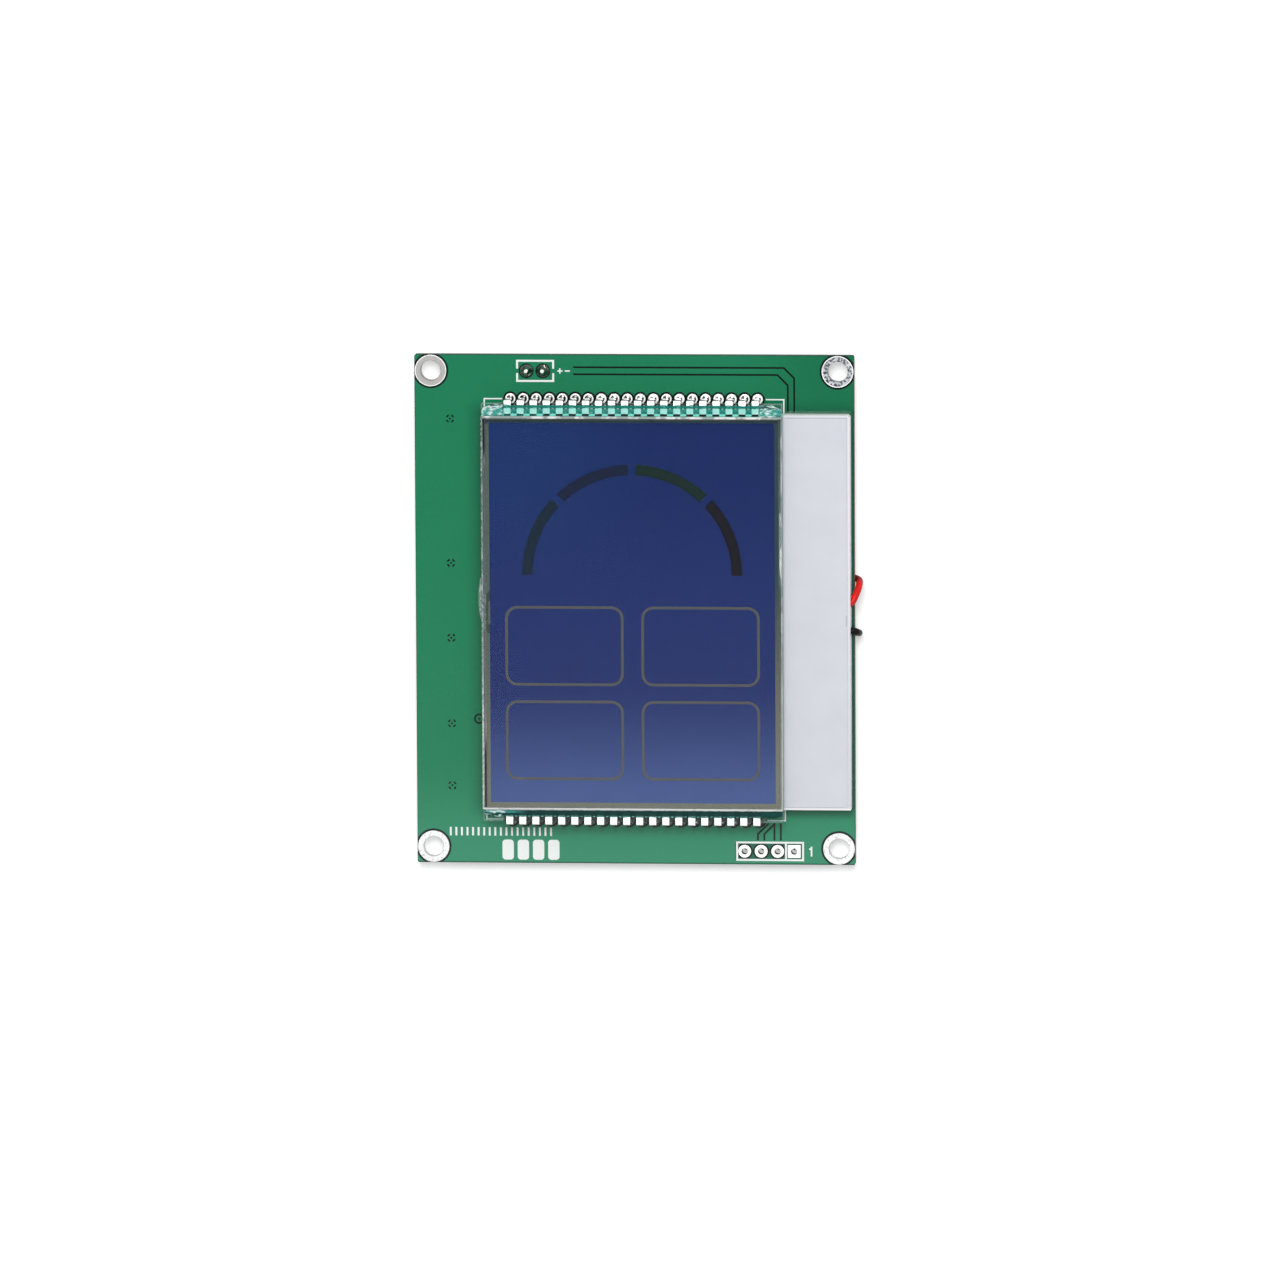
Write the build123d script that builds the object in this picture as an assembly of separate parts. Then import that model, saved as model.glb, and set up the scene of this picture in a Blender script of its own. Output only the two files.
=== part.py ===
from build123d import *
import math
import os

# Segment LCD module on a circuit board.
# The origin is the centre of the four screw holes on the board's back face.
# X runs to the right of the display, Y to its top edge, Z out of its front.
# All sizes are millimetres.

# Circuit board, 67.5 wide and 78.5 high with the sizes below
board_side_margin = 0.45  # from the backlight's right side to the board's right edge
board_end_margin = 6.75  # from the middle of a row of pin holes to the board's edge
board_thickness = 1.6
board_corner_radius = 0.3
copper_step = 0.04  # depth of a gap in the copper under the solder mask
plating = 0.05  # thickness of the tinned copper that stands on the board and lines its holes

# Corner screw holes
screw_edge_distance = 2.5  # from each hole's centre to the two edges beside it
screw_hole_radius = 1.55
screw_ring_radius = 2.42
screw_gap_radius = 2.67

# LCD pins, two rows
pins_per_row = 20
pin_pitch = 2.0
pin_hole_radius = 0.45
pin_ring_radius = 0.785
pin_gap_radius = 1.1
pin_metal_thickness = 0.3
pin_clip_width = 1.05
pin_leg_width = 0.5
pin_glass_clearance = 0.25  # between the rear glass's edge and a pin's upright
pin_hole_offset = 0.1  # a leg stands this far outside the middle of its hole
pin_tail = 2.0  # length of a pin below the board's back
pin_shoulder = 0.9  # height of the clip's foot over which a pin narrows to its leg
pin_prong_clearance = 0.38  # between a prong's tip and the front glass
pin_back_prong_clearance = 0.95  # between a prong's tip and the backlight tray
pin_solder_front = 0.35
pin_solder_back = 0.95
pin_solder_tip_radius = 0.4
pin_tip_taper = 0.12

# Four-way header place, left open
header_pitch = 2.54
header_ways = 4
header_hole_radius = 0.5
header_ring_radius = 0.98
header_gap_radius = 1.25
header_right_distance = 9.4  # from the first hole to the board's right edge
header_edge_distance = 2.05

# Holes of the two backlight leads
lead_pad_left_distance = 17.22  # from the first hole to the board's left edge
lead_pad_pitch = 2.56
lead_pad_edge_distance = 2.51
lead_hole_radius = 0.45
lead_ring_radius = 0.95
lead_gap_radius = 1.15
lead_solder_front = 1.15
lead_solder_back = 0.35
lead_solder_tip_radius = 0.34

# LCD cell
glass_thickness = 1.1
cell_gap = 0.05  # thickness of the seal and of the liquid crystal layer
polarizer_thickness = 0.2
cell_width = 46.15
front_glass_height = 60.6
ledge_width = 1.9
polarizer_inset = 0.4
seal_width = 1.175  # from the front glass's edge to the view area, at the sides
seal_width_ends = 1.05
seal_inset = 0.15
port_centre_y = 0.0
port_width = 6.8  # where it leaves the view area
port_lip = 0.55  # each lip closes it by this much
port_reach = 0.54  # the liquid crystal runs this far into the port, and glue fills the rest
port_bar_width = 0.32
port_bar_length = 3.55
port_bar_offset = 0.1  # from the view area's edge to the middle of the bar in the port
dab_centre_y = 2.2
dab_length = 6.8
dab_width = 0.55

# Segments
arc_side_margin = 5.0  # from the view area's sides to the gauge's ring
arc_width = 1.65
arc_rise = 4.9  # from the top of the windows to the ring's centre
arc_gap = 1.1
arc_end_drop = 0.15
window_height = 12.3
window_side_margin = 2.35  # from the view area's sides to the windows
window_bottom_margin = 3.45
window_gap_x = 2.7
window_gap_y = 2.25
window_corner_radius = 1.9
window_line = 0.42

# Resin over the prongs
resin_side_margin = 0.1  # the resin ends this far inside the sides of the glass
resin_top_width = 1.55
resin_bottom_width = 1.0
resin_rise = 0.25  # height of the resin over the prongs
resin_climb = 0.2  # further height where it meets the front glass

# Backlight
tape_thickness = 0.2
tape_width = 6.0
tape_margin = 2.0
tray_left_inset = 0.1  # the tray's left side stands this far inside the glass
tray_overlap = 0.07  # its ends stand this far outside the front glass
tray_wall = 0.4
tray_corner_cut = 0.35  # the corner at the upper right is cut off
tray_floor = 0.3
reflector_thickness = 0.15
light_guide_thickness = 2.35
diffuser_thickness = 0.2
tray_clearance = 0.05
film_gap = 0.15  # between the light guide and the film
film_thickness = 0.15
film_seat = 0.4
light_guide_overlap = 0.3  # the light guide goes on this far beyond the view area

# LED strip under the film
led_count = 6
led_pitch = 9.4
led_width = 1.0
led_length = 3.8
led_height = 1.2
led_window_thickness = 0.2
led_gap = 0.1  # between the light guide and an LED's window
strip_thickness = 0.6
strip_width = 8.6
strip_end_margin = 1.6  # from the end of the strip to the tray's end
strip_room = 1.6  # between the strip and the seat of the film, where the leads come in
strip_solder_radius = 0.75

# Backlight leads
lead_diameter = 1.05
conductor_diameter = 0.5
lead_height_over_floor = 1.2
lead_start_distance = 0.3  # a lead's insulation starts this far outside the LED strip
conductor_overlap = 0.9  # and its conductor reaches this far over the strip
lead_stop = 1.25  # a lead's insulation stops this far from its hole
red_exit_y = 1.0
black_exit_y = -2.9
lead_exit_clearance = 0.05
conductor_bend = 0.55

# Parts on the board's back
chip_size = 7.0
chip_height = 1.4
chip_standoff = 0.1
chip_x = 1.5
chip_y = -6.0
chip_chamfer = 0.12
chip_leads_per_side = 12
chip_lead_pitch = 0.5
chip_lead_width = 0.22
chip_lead_thickness = 0.13
chip_lead_reach = 1.0
chip_foot = 0.5
capacitor_length = 2.0
capacitor_width = 1.25
capacitor_height = 0.9
capacitor_end = 0.4
resistor_length = 1.6
resistor_width = 0.8
resistor_height = 0.45
resistor_end = 0.3
row_part_distance = 2.5  # from the bottom row of pins to the two parts beside it

# Gaps in the copper
gap_line = 0.28
trace_start_distance = 4.77  # from the right lead hole to where the gaps beside its trace start
trace_turn = 1.58  # size of the slanted corner of the lead trace
trace_upper_offset = 0.58
trace_lower_offset = -0.5
trace_tray_distance = 8.7  # from the backlight's right side to the outer gap
trace_width = 0.98
trace_end_margin = 0.3  # the trace shows down to this far from the tray
header_trace_reach = 2.45
header_trace_turn = 0.85  # the gaps run straight up this far before the left pair slants
header_trace_shift = 1.6
via_edge_distance = 5.45
via_ys = [29.35, 7.1, -4.46, -17.7, -27.3]
via_inner_radius = 0.41
via_outer_radius = 0.68
via_spoke = 0.4
via_dot_radius = 0.16
lone_via_edge_distance = 9.65
lone_via_y = -16.96
lone_via_inner_radius = 0.53
lone_via_outer_radius = 0.8

# White legend print
print_thickness = 0.03
outline_line = 0.2
outline_margin = 0.03  # the outline stands this far outside the glass
outline_row_margin = 0.05  # and its ends this far outside the middle of the pin holes
outline_pin_margin = 1.25  # the outline stops this far beyond the end pins
mark_line = 0.3
header_box_side_gap = 0.135  # between the end rings and the box's line
header_box_end_gap = 0.22
header_box_shift = 0.1
lead_box_side_gap = 0.395
lead_box_end_gap = 0.45
lead_box_gap = 0.7
lead_box_shift = 0.1
sign_size = 0.8
sign_stroke = 0.2
sign_distance = 2.62  # from the right lead hole to the plus
sign_pitch = 1.15
one_height = 1.5
one_stroke = 0.25
one_distance = 2.67  # from the header's first hole to the figure one
tick_count = 19
tick_pitch = 0.86
tick_height = 1.3
tick_width = 0.3
tick_side_distance = 5.15  # from the board's left edge to the first tick
tick_edge_distance = 4.85
bar_count = 4
bar_pitch = 2.35
bar_width = 1.75
bar_height = 3.1
bar_corner_radius = 0.5
bar_side_distance = 14.0  # from the board's left edge to the first block

# Places along X and Y, worked out from the sizes above
rear_glass_height = front_glass_height + 2 * ledge_width
polarizer_width = cell_width - 2 * polarizer_inset
polarizer_height = front_glass_height - 2 * polarizer_inset
view_width = cell_width - 2 * seal_width
view_height = front_glass_height - 2 * seal_width_ends
window_width = (view_width - window_gap_x) / 2 - window_side_margin
window_x = (window_width + window_gap_x) / 2
window_pitch_y = window_height + window_gap_y
window_top_y = window_bottom_margin + window_height / 2 + window_pitch_y - view_height / 2
arc_outer_radius = view_width / 2 - arc_side_margin
arc_inner_radius = arc_outer_radius - arc_width
arc_centre_y = window_top_y + window_height / 2 + arc_rise
tray_height_y = front_glass_height + 2 * tray_overlap
tray_left_x = tray_left_inset - cell_width / 2
light_guide_right_x = view_width / 2 + light_guide_overlap
film_left_x = light_guide_right_x + film_gap
strip_right_x = light_guide_right_x + led_gap + strip_width
tray_right_x = strip_right_x + strip_room + film_seat + tray_wall
strip_length = tray_height_y - 2 * strip_end_margin
lead_start_x = strip_right_x + lead_start_distance
conductor_start_x = strip_right_x - conductor_overlap
pin_outer_y = rear_glass_height / 2 + pin_glass_clearance + pin_metal_thickness
pin_row_y = pin_outer_y - pin_metal_thickness / 2 - pin_hole_offset
pin_prong_tip_y = front_glass_height / 2 + pin_prong_clearance
pin_back_prong_tip_y = tray_height_y / 2 + pin_back_prong_clearance
row_part_y = row_part_distance - pin_row_y
capacitor_places = [(-8.0, -3.0, 90), (-8.0, -8.0, 90), (16.0, row_part_y, 0)]
resistor_places = [(11.5, -3.0, 0), (11.5, -5.0, 0), (11.5, -7.0, 0), (22.0, row_part_y, 90)]
board_right = tray_right_x + board_side_margin
board_upper = pin_row_y + board_end_margin
board_width = 2 * board_right
board_height = 2 * board_upper
trace_right_x = tray_right_x - trace_tray_distance
header_right_x = board_right - header_right_distance
header_y = header_edge_distance - board_upper
header_span = (header_ways - 1) * header_pitch
header_box_width = header_span + 2 * (header_ring_radius + header_box_side_gap + mark_line)
header_box_height = 2 * (header_ring_radius + header_box_end_gap + mark_line)
lead_pad_left_x = lead_pad_left_distance - board_right
lead_pad_y = board_upper - lead_pad_edge_distance
lead_box_width = lead_pad_pitch + 2 * (lead_ring_radius + lead_box_side_gap + mark_line)
lead_box_height = 2 * (lead_ring_radius + lead_box_end_gap + mark_line)

# Levels along Z, worked out from the stack
board_top = board_thickness
tray_bottom = board_top + tape_thickness
guide_bottom = tray_bottom + tray_floor + reflector_thickness
diffuser_bottom = guide_bottom + light_guide_thickness
rear_polarizer_bottom = diffuser_bottom + diffuser_thickness
rear_glass_bottom = rear_polarizer_bottom + polarizer_thickness
ledge = rear_glass_bottom + glass_thickness
front_glass_bottom = ledge + cell_gap
front_glass_top = front_glass_bottom + glass_thickness
lead_level = tray_bottom + tray_floor + lead_height_over_floor

pin_xs = [(i - (pins_per_row - 1) / 2) * pin_pitch for i in range(pins_per_row)]
header_xs = [header_right_x - i * header_pitch for i in range(header_ways)]
lead_pad_xs = [lead_pad_left_x, lead_pad_left_x + lead_pad_pitch]
screw_x = board_right - screw_edge_distance
screw_y = board_upper - screw_edge_distance
screw_places = [(x * screw_x, y * screw_y) for x in (-1, 1) for y in (-1, 1)]
window_places = [
    (x * window_x, window_top_y - row * window_pitch_y) for row in (0, 1) for x in (-1, 1)
]


def point_before_hole(previous, pad_x):
    """The last point of a lead: short of its hole, on the line from the point before it."""
    to_hole = Vector(pad_x - previous[0], lead_pad_y - previous[1], 0)
    stop = Vector(pad_x, lead_pad_y, previous[2]) - to_hole.normalized() * lead_stop
    return (stop.X, stop.Y, stop.Z)


# Routes of the two leads, chosen by hand: out of the tray, over the board's edge and along its back
red_route = [
    (lead_start_x, red_exit_y, lead_level),
    (33.95, red_exit_y, lead_level),
    (34.6, 2.7, 3.1),
    (34.85, 4.3, 1.9),
    (34.95, 5.3, 0.4),
    (34.55, 6.1, -0.75),
    (33.0, 7.3, -0.85),
    (30.9, 10.2, -0.66),
    (28.9, 15.6, -0.66),
    (27.9, 22.4, -0.66),
    (26.6, 29.4, -0.66),
    (22.8, 35.1, -0.66),
    (13.5, 36.5, -0.66),
    (4.6, 35.9, -0.66),
    (-4.0, 36.7, -0.66),
    (-9.4, 36.3, -0.66),
]
black_route = [
    (lead_start_x, black_exit_y, lead_level),
    (34.05, black_exit_y, lead_level),
    (34.8, -3.5, 2.2),
    (35.0, -3.95, 0.75),
    (34.85, -4.2, -0.45),
    (34.05, -4.25, -1.0),
    (32.7, -3.5, -0.85),
    (31.1, -1.3, -0.66),
    (29.2, 3.4, -0.66),
    (27.2, 10.2, -0.66),
    (26.1, 17.9, -0.66),
    (25.1, 26.0, -0.66),
    (22.4, 33.3, -0.66),
    (13.4, 34.9, -0.66),
    (4.4, 34.4, -0.66),
    (-4.4, 35.0, -0.66),
    (-10.2, 34.4, -0.66),
    (-13.6, 34.2, -0.66),
    (-15.4, 34.75, -0.66),
]
red_route.append(point_before_hole(red_route[-1], lead_pad_xs[1]))
black_route.append(point_before_hole(black_route[-1], lead_pad_xs[0]))


def block(x, y, z):
    """A box between two values along each axis."""
    size = [abs(pair[1] - pair[0]) for pair in (x, y, z)]
    middle = [(pair[0] + pair[1]) / 2 for pair in (x, y, z)]
    return Pos(*middle) * Box(*size)


def centred(width, height, bottom, thickness, x=0.0, y=0.0):
    """A flat plate about a point, standing on a level."""
    return Pos(x, y, bottom + thickness / 2) * Box(width, height, thickness)


def disc(radius, bottom, thickness, x=0.0, y=0.0):
    return Pos(x, y, bottom + thickness / 2) * Cylinder(radius, thickness)


def frame(outer_width, outer_height, line, bottom, thickness, x=0.0, y=0.0):
    """A rectangular ring with a line of one width."""
    outer = centred(outer_width, outer_height, bottom, thickness, x, y)
    return outer - centred(outer_width - 2 * line, outer_height - 2 * line, bottom, thickness, x, y)


def turned(profile):
    """A solid turned about Z from points given as radius and height."""
    points = [(radius, 0, height) for radius, height in profile]
    return revolve(make_face(Polyline(*points, close=True)), Axis.Z)


def plated_hole(hole_radius, ring_radius):
    """A lined hole with a ring on each face of the board."""
    barrel = disc(hole_radius + plating, 0, board_thickness)
    rings = disc(ring_radius, board_top, plating) + disc(ring_radius, -plating, plating)
    return barrel + rings - disc(hole_radius, -plating, board_thickness + 2 * plating)


def header_rings(x):
    """The two flat rings of a header hole, square ones at the first hole."""
    rings = []
    for bottom in (board_top, -plating):
        if x == header_right_x:
            ring = centred(2 * header_ring_radius, 2 * header_ring_radius, bottom, plating, x, header_y)
        else:
            ring = disc(header_ring_radius, bottom, plating, x, header_y)
        rings.append(ring - disc(header_hole_radius, bottom, plating, x, header_y))
    return rings


def solder_joint(hole_radius, ring_radius, tip_radius, front_height, back_height):
    """Solder that fills a lined hole and climbs what stands in it on both faces."""
    foot = ring_radius - plating
    waist = tip_radius + 0.25 * (foot - tip_radius)
    front = board_top + plating
    back = -plating
    return turned([
        (0, front + front_height),
        (tip_radius, front + front_height),
        (waist, front + 0.35 * front_height),
        (foot, front),
        (hole_radius, front),
        (hole_radius, back),
        (foot, back),
        (waist, back - 0.35 * back_height),
        (tip_radius, back - back_height),
        (0, back - back_height),
    ])


def circuit_board():
    board = centred(board_width, board_height, 0, board_thickness)
    board = fillet(board.edges().filter_by(Axis.Z), board_corner_radius)
    drill = board_thickness
    for x, y in screw_places:
        board -= disc(screw_hole_radius + plating, 0, drill, x, y)
    for x in pin_xs:
        for y in (-pin_row_y, pin_row_y):
            board -= disc(pin_hole_radius + plating, 0, drill, x, y)
    for x in header_xs:
        board -= disc(header_hole_radius, 0, drill, x, header_y)
    for x in lead_pad_xs:
        board -= disc(lead_hole_radius + plating, 0, drill, x, lead_pad_y)
    return board - copper_gaps()


def copper_gaps():
    """Everything on the front where the mask dips between two areas of copper."""
    level = board_top - copper_step
    gaps = []
    for x, y in screw_places:
        gaps.append(ring_gap(screw_ring_radius, screw_gap_radius, x, y))
    for y in (-pin_row_y, pin_row_y):
        row = disc(pin_gap_radius, level, copper_step, pin_xs[0], y)
        for x in pin_xs[1:]:
            row += disc(pin_gap_radius, level, copper_step, x, y)
        for x in pin_xs:
            row -= disc(pin_ring_radius, level, copper_step, x, y)
        gaps.append(row)
    for x in header_xs[1:]:
        gaps.append(ring_gap(header_ring_radius, header_gap_radius, x, header_y))
    for x in lead_pad_xs:
        gaps.append(ring_gap(lead_ring_radius, lead_gap_radius, x, lead_pad_y))
    gaps += lead_trace_gaps() + header_trace_gaps() + stitching_via_gaps()
    return gaps


def ring_gap(inner, outer, x, y):
    level = board_top - copper_step
    return disc(outer, level, copper_step, x, y) - disc(inner, level, copper_step, x, y)


def groove(points, width):
    """A groove of one width along straight runs with round corners and ends."""
    level = board_top - copper_step
    shape = disc(width / 2, level, copper_step, *points[0])
    for start, end in zip(points, points[1:]):
        length = math.dist(start, end)
        angle = math.degrees(math.atan2(end[1] - start[1], end[0] - start[0]))
        middle = [(a + b) / 2 for a, b in zip(start, end)]
        run = Pos(*middle, level + copper_step / 2) * Rot(0, 0, angle) * Box(length, width, copper_step)
        shape = shape + run + disc(width / 2, level, copper_step, *end)
    return shape


def lead_trace_gaps():
    """The two gaps beside the trace from the lead holes to the backlight's top edge."""
    start_x = lead_pad_xs[1] + trace_start_distance
    end_y = tray_height_y / 2 + trace_end_margin
    gaps = []
    for offset, right_x in (
        (trace_upper_offset, trace_right_x), (trace_lower_offset, trace_right_x - trace_width),
    ):
        y = lead_pad_y + offset
        gaps.append(groove(
            [(start_x, y), (right_x - trace_turn, y), (right_x, y - trace_turn), (right_x, end_y)],
            gap_line,
        ))
    return gaps


def header_trace_gaps():
    """The gaps beside the traces that leave the header's two middle holes."""
    start_y = header_y + header_box_height / 2 + mark_line
    turn_y = start_y + header_trace_turn
    end_y = start_y + header_trace_reach
    gaps = []
    for hole in (2, 1):
        x = header_xs[hole] - header_ring_radius / 2
        shift = header_trace_shift if hole == 2 else 0
        gaps.append(groove([(x, start_y), (x, turn_y), (x + shift, end_y)], gap_line))
        x = header_xs[hole] + header_ring_radius / 2
        gaps.append(groove([(x, start_y), (x, turn_y), (x + shift, end_y)], gap_line))
    return gaps


def stitching_via_gaps():
    """Four short arcs and a dot for each via on a thermal relief, and one via in a plain ring."""
    level = board_top - copper_step
    x = via_edge_distance - board_right
    gaps = []
    for y in via_ys:
        ring = ring_gap(via_inner_radius, via_outer_radius, x, y)
        spokes = [
            Pos(x, y, board_top) * Rot(0, 0, turn) * Box(4 * via_outer_radius, via_spoke, 4 * copper_step)
            for turn in (0, 90)
        ]
        gaps.append(ring - spokes)
        gaps.append(disc(via_dot_radius, level, copper_step, x, y))
    lone_x = lone_via_edge_distance - board_right
    gaps.append(ring_gap(lone_via_inner_radius, lone_via_outer_radius, lone_x, lone_via_y))
    gaps.append(disc(via_dot_radius, level, copper_step, lone_x, lone_via_y))
    return gaps


def lcd_pin():
    """One clip-on pin of the top row, at X = 0: a clip round the glass ledge, and a leg."""
    inner_y = pin_outer_y - pin_metal_thickness
    clip_profile = Polyline(
        (0, pin_outer_y, rear_glass_bottom - pin_metal_thickness),
        (0, pin_outer_y, ledge + pin_metal_thickness),
        (0, pin_prong_tip_y, ledge + pin_metal_thickness),
        (0, pin_prong_tip_y, ledge),
        (0, inner_y, ledge),
        (0, inner_y, rear_glass_bottom),
        (0, pin_back_prong_tip_y, rear_glass_bottom),
        (0, pin_back_prong_tip_y, rear_glass_bottom - pin_metal_thickness),
        close=True,
    )
    clip = extrude(make_face(clip_profile), pin_clip_width / 2, both=True)
    clip = fillet(clip.edges().filter_by(Axis.X).sort_by(Axis.Y)[-2:], 0.6 * pin_metal_thickness)
    foot = rear_glass_bottom - pin_metal_thickness
    half_clip = pin_clip_width / 2
    half_leg = pin_leg_width / 2
    leg_profile = Polyline(
        (half_clip, pin_outer_y, foot + pin_metal_thickness),
        (half_clip, pin_outer_y, foot - 0.4 * pin_shoulder),
        (half_leg, pin_outer_y, foot - pin_shoulder),
        (half_leg, pin_outer_y, -pin_tail + 3 * pin_tip_taper),
        (half_leg - pin_tip_taper, pin_outer_y, -pin_tail),
        (pin_tip_taper - half_leg, pin_outer_y, -pin_tail),
        (-half_leg, pin_outer_y, -pin_tail + 3 * pin_tip_taper),
        (-half_leg, pin_outer_y, foot - pin_shoulder),
        (-half_clip, pin_outer_y, foot - 0.4 * pin_shoulder),
        (-half_clip, pin_outer_y, foot + pin_metal_thickness),
        close=True,
    )
    leg = extrude(make_face(leg_profile), amount=pin_metal_thickness, dir=(0, -1, 0))
    return clip + leg


def row(shape, top):
    """Copies of a top-row shape at every pin, turned round for the bottom row."""
    turn = Rot(0, 0, 0 if top else 180)
    return [turn * Pos(x, 0, 0) * shape for x in pin_xs]


def pin_solder():
    joint = Pos(0, pin_row_y, 0) * solder_joint(
        pin_hole_radius, pin_ring_radius, pin_solder_tip_radius, pin_solder_front, pin_solder_back,
    )
    return joint - lcd_pin()


def pin_resin(top):
    """Clear resin on a ledge, over the prongs and up against the front glass."""
    reach = resin_top_width if top else resin_bottom_width
    start = front_glass_height / 2
    crest = ledge + pin_metal_thickness + resin_rise
    profile = Polyline(
        (0, start, ledge),
        (0, start + reach, ledge),
        (0, start + 0.93 * reach, ledge + pin_metal_thickness + 0.4 * resin_rise),
        (0, start + 0.5 * reach, crest),
        (0, start, crest + resin_climb),
        close=True,
    )
    resin = extrude(make_face(profile), cell_width / 2 - resin_side_margin, both=True)
    for x in pin_xs:
        resin -= Pos(x, 0, 0) * lcd_pin()
    return Rot(0, 0, 0 if top else 180) * resin


def port_mouth():
    """The part of the filling port that the liquid crystal runs into, between the seal's two lips."""
    left = -view_width / 2
    half = port_width / 2
    outline = Polyline(
        (left, port_centre_y - half, ledge),
        (left, port_centre_y + half, ledge),
        (left - port_reach, port_centre_y + half - port_lip, ledge),
        (left - port_reach, port_centre_y - half + port_lip, ledge),
        close=True,
    )
    return extrude(make_face(outline), amount=cell_gap, dir=(0, 0, 1))


def port_channel():
    """The rest of the filling port, out to the glass's edge."""
    half = port_width / 2 - port_lip
    return block(
        (-cell_width / 2, -view_width / 2 - port_reach),
        (port_centre_y - half, port_centre_y + half),
        (ledge, front_glass_bottom),
    )


def port_bar():
    """A short bar of seal that stands in the port."""
    x = -view_width / 2 - port_bar_offset
    return centred(port_bar_width, port_bar_length, ledge, cell_gap, x, port_centre_y)


def seal_ring():
    """The seal between the glasses, open at the filling port."""
    outer_width = cell_width - 2 * seal_inset
    outer_height = front_glass_height - 2 * seal_inset
    seal = centred(outer_width, outer_height, ledge, cell_gap)
    seal -= centred(view_width, view_height, ledge, cell_gap)
    return seal - port_mouth() - port_channel()


def end_seal():
    """The clear glue that fills the port and stands out as a dab at the cell's left edge."""
    dab = Pos(-cell_width / 2, dab_centre_y, front_glass_bottom) * scale(
        Sphere(1.0), (dab_width, dab_length / 2, glass_thickness * 0.95),
    )
    dab -= block(
        (-cell_width / 2, cell_width / 2),
        (-front_glass_height / 2, front_glass_height / 2),
        (rear_glass_bottom, front_glass_top),
    )
    return dab + port_channel()


def ring_sector(start, end):
    """A part of the gauge's ring between two angles, with a straight gap of the same width at each end."""
    ring = disc(arc_outer_radius, ledge, cell_gap, 0, arc_centre_y)
    ring -= disc(arc_inner_radius, ledge, cell_gap, 0, arc_centre_y)
    reach = 2 * arc_outer_radius
    for angle, side in ((start, -1), (end, 1)):
        half_plane = Pos(0, side * (reach - arc_gap / 2), 0) * Box(2 * reach, 2 * reach, 2 * board_width)
        ring -= Pos(0, arc_centre_y, 0) * Rot(0, 0, angle) * half_plane
    return ring


def arc_segments():
    """The four parts of the half-round gauge, from the left one over the top to the right one."""
    drop = math.degrees(arc_end_drop / arc_outer_radius)
    half_gap = math.degrees(arc_gap / 2 / arc_outer_radius)
    edges = [180 + drop + half_gap, 135, 90, 45, -drop - half_gap]
    names = ["left", "upper_left", "upper_right", "right"]
    return {name: ring_sector(edges[i + 1], edges[i]) for i, name in enumerate(names)}


def window_outline(x, y):
    outer = extrude(RectangleRounded(window_width, window_height, window_corner_radius), cell_gap)
    inner = extrude(RectangleRounded(
        window_width - 2 * window_line,
        window_height - 2 * window_line,
        window_corner_radius - window_line,
    ), cell_gap)
    return Pos(x, y, ledge) * (outer - inner)


def backlight_tray():
    """A white moulded tray: a floor, a rim, and a seat for the film round the LED compartment."""
    half = tray_height_y / 2
    tray = block((tray_left_x, tray_right_x), (-half, half), (tray_bottom, rear_polarizer_bottom))
    corner = tray.edges().filter_by(Axis.Z).sort_by(lambda edge: edge.center().X + edge.center().Y)[-1]
    tray = chamfer(corner, tray_corner_cut)
    inside_y = half - tray_wall
    tray -= block(
        (tray_left_x + tray_wall, light_guide_right_x + tray_clearance),
        (-inside_y, inside_y),
        (tray_bottom + tray_floor, rear_polarizer_bottom),
    )
    tray -= block(
        (light_guide_right_x, tray_right_x - tray_wall - film_seat),
        (-inside_y + film_seat, inside_y - film_seat),
        (tray_bottom + tray_floor, rear_polarizer_bottom),
    )
    tray -= block(
        (light_guide_right_x, tray_right_x - tray_wall),
        (-inside_y, inside_y),
        (rear_polarizer_bottom - film_thickness, rear_polarizer_bottom),
    )
    for y in (red_exit_y, black_exit_y):
        radius = lead_diameter / 2 + lead_exit_clearance
        hole = Rot(0, 90, 0) * Cylinder(radius, 4 * (tray_wall + film_seat))
        tray -= Pos(tray_right_x, y, lead_level) * hole
    return tray


def led_strip():
    left = light_guide_right_x + led_gap
    return block(
        (left, left + strip_width),
        (-strip_length / 2, strip_length / 2),
        (tray_bottom + tray_floor, tray_bottom + tray_floor + strip_thickness),
    )


def led_places():
    return [(i - (led_count - 1) / 2) * led_pitch for i in range(led_count)]


def led_body(y):
    left = light_guide_right_x + led_gap + led_window_thickness
    bottom = tray_bottom + tray_floor + strip_thickness
    return block(
        (left, left + led_width), (y - led_length / 2, y + led_length / 2), (bottom, bottom + led_height),
    )


def led_window(y):
    left = light_guide_right_x + led_gap
    bottom = tray_bottom + tray_floor + strip_thickness
    margin = 0.3
    return block(
        (left, left + led_window_thickness),
        (y - led_length / 2 + margin, y + led_length / 2 - margin),
        (bottom + margin / 2, bottom + led_height - margin / 2),
    )


def route_radii(points):
    """The bend radius at each inner point: as large as its two runs allow."""
    radii = []
    for a, b, c in zip(points, points[1:], points[2:]):
        before = Vector(*b) - Vector(*a)
        after = Vector(*c) - Vector(*b)
        turn = math.radians(before.get_angle(after))
        radii.append(0.45 * min(before.length, after.length) / math.tan(turn / 2))
    return radii


def tube(points, radii, diameter):
    path = FilletPolyline(*points, radius=radii)
    return sweep(Plane(path @ 0, z_dir=path % 0) * Circle(diameter / 2), path=path), path


def lead(name, points):
    radii = route_radii(points)
    solid, path = tube(points, radii, lead_diameter)
    section = math.pi * lead_diameter**2 / 4
    ratio = solid.volume / section / path.length
    print(name, "length", round(path.length, 1), "volume ratio", round(ratio, 4))
    print(name, "radii", [round(radius, 1) for radius in radii])
    return solid


def lead_conductor(points, pad_x):
    """The bare end of a lead, from its insulation up through its hole in the board."""
    end = points[-1]
    above = board_top + plating + lead_solder_front - 0.1
    path = [end, (pad_x, lead_pad_y, end[2]), (pad_x, lead_pad_y, above)]
    return tube(path, [conductor_bend], conductor_diameter)[0]


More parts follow.
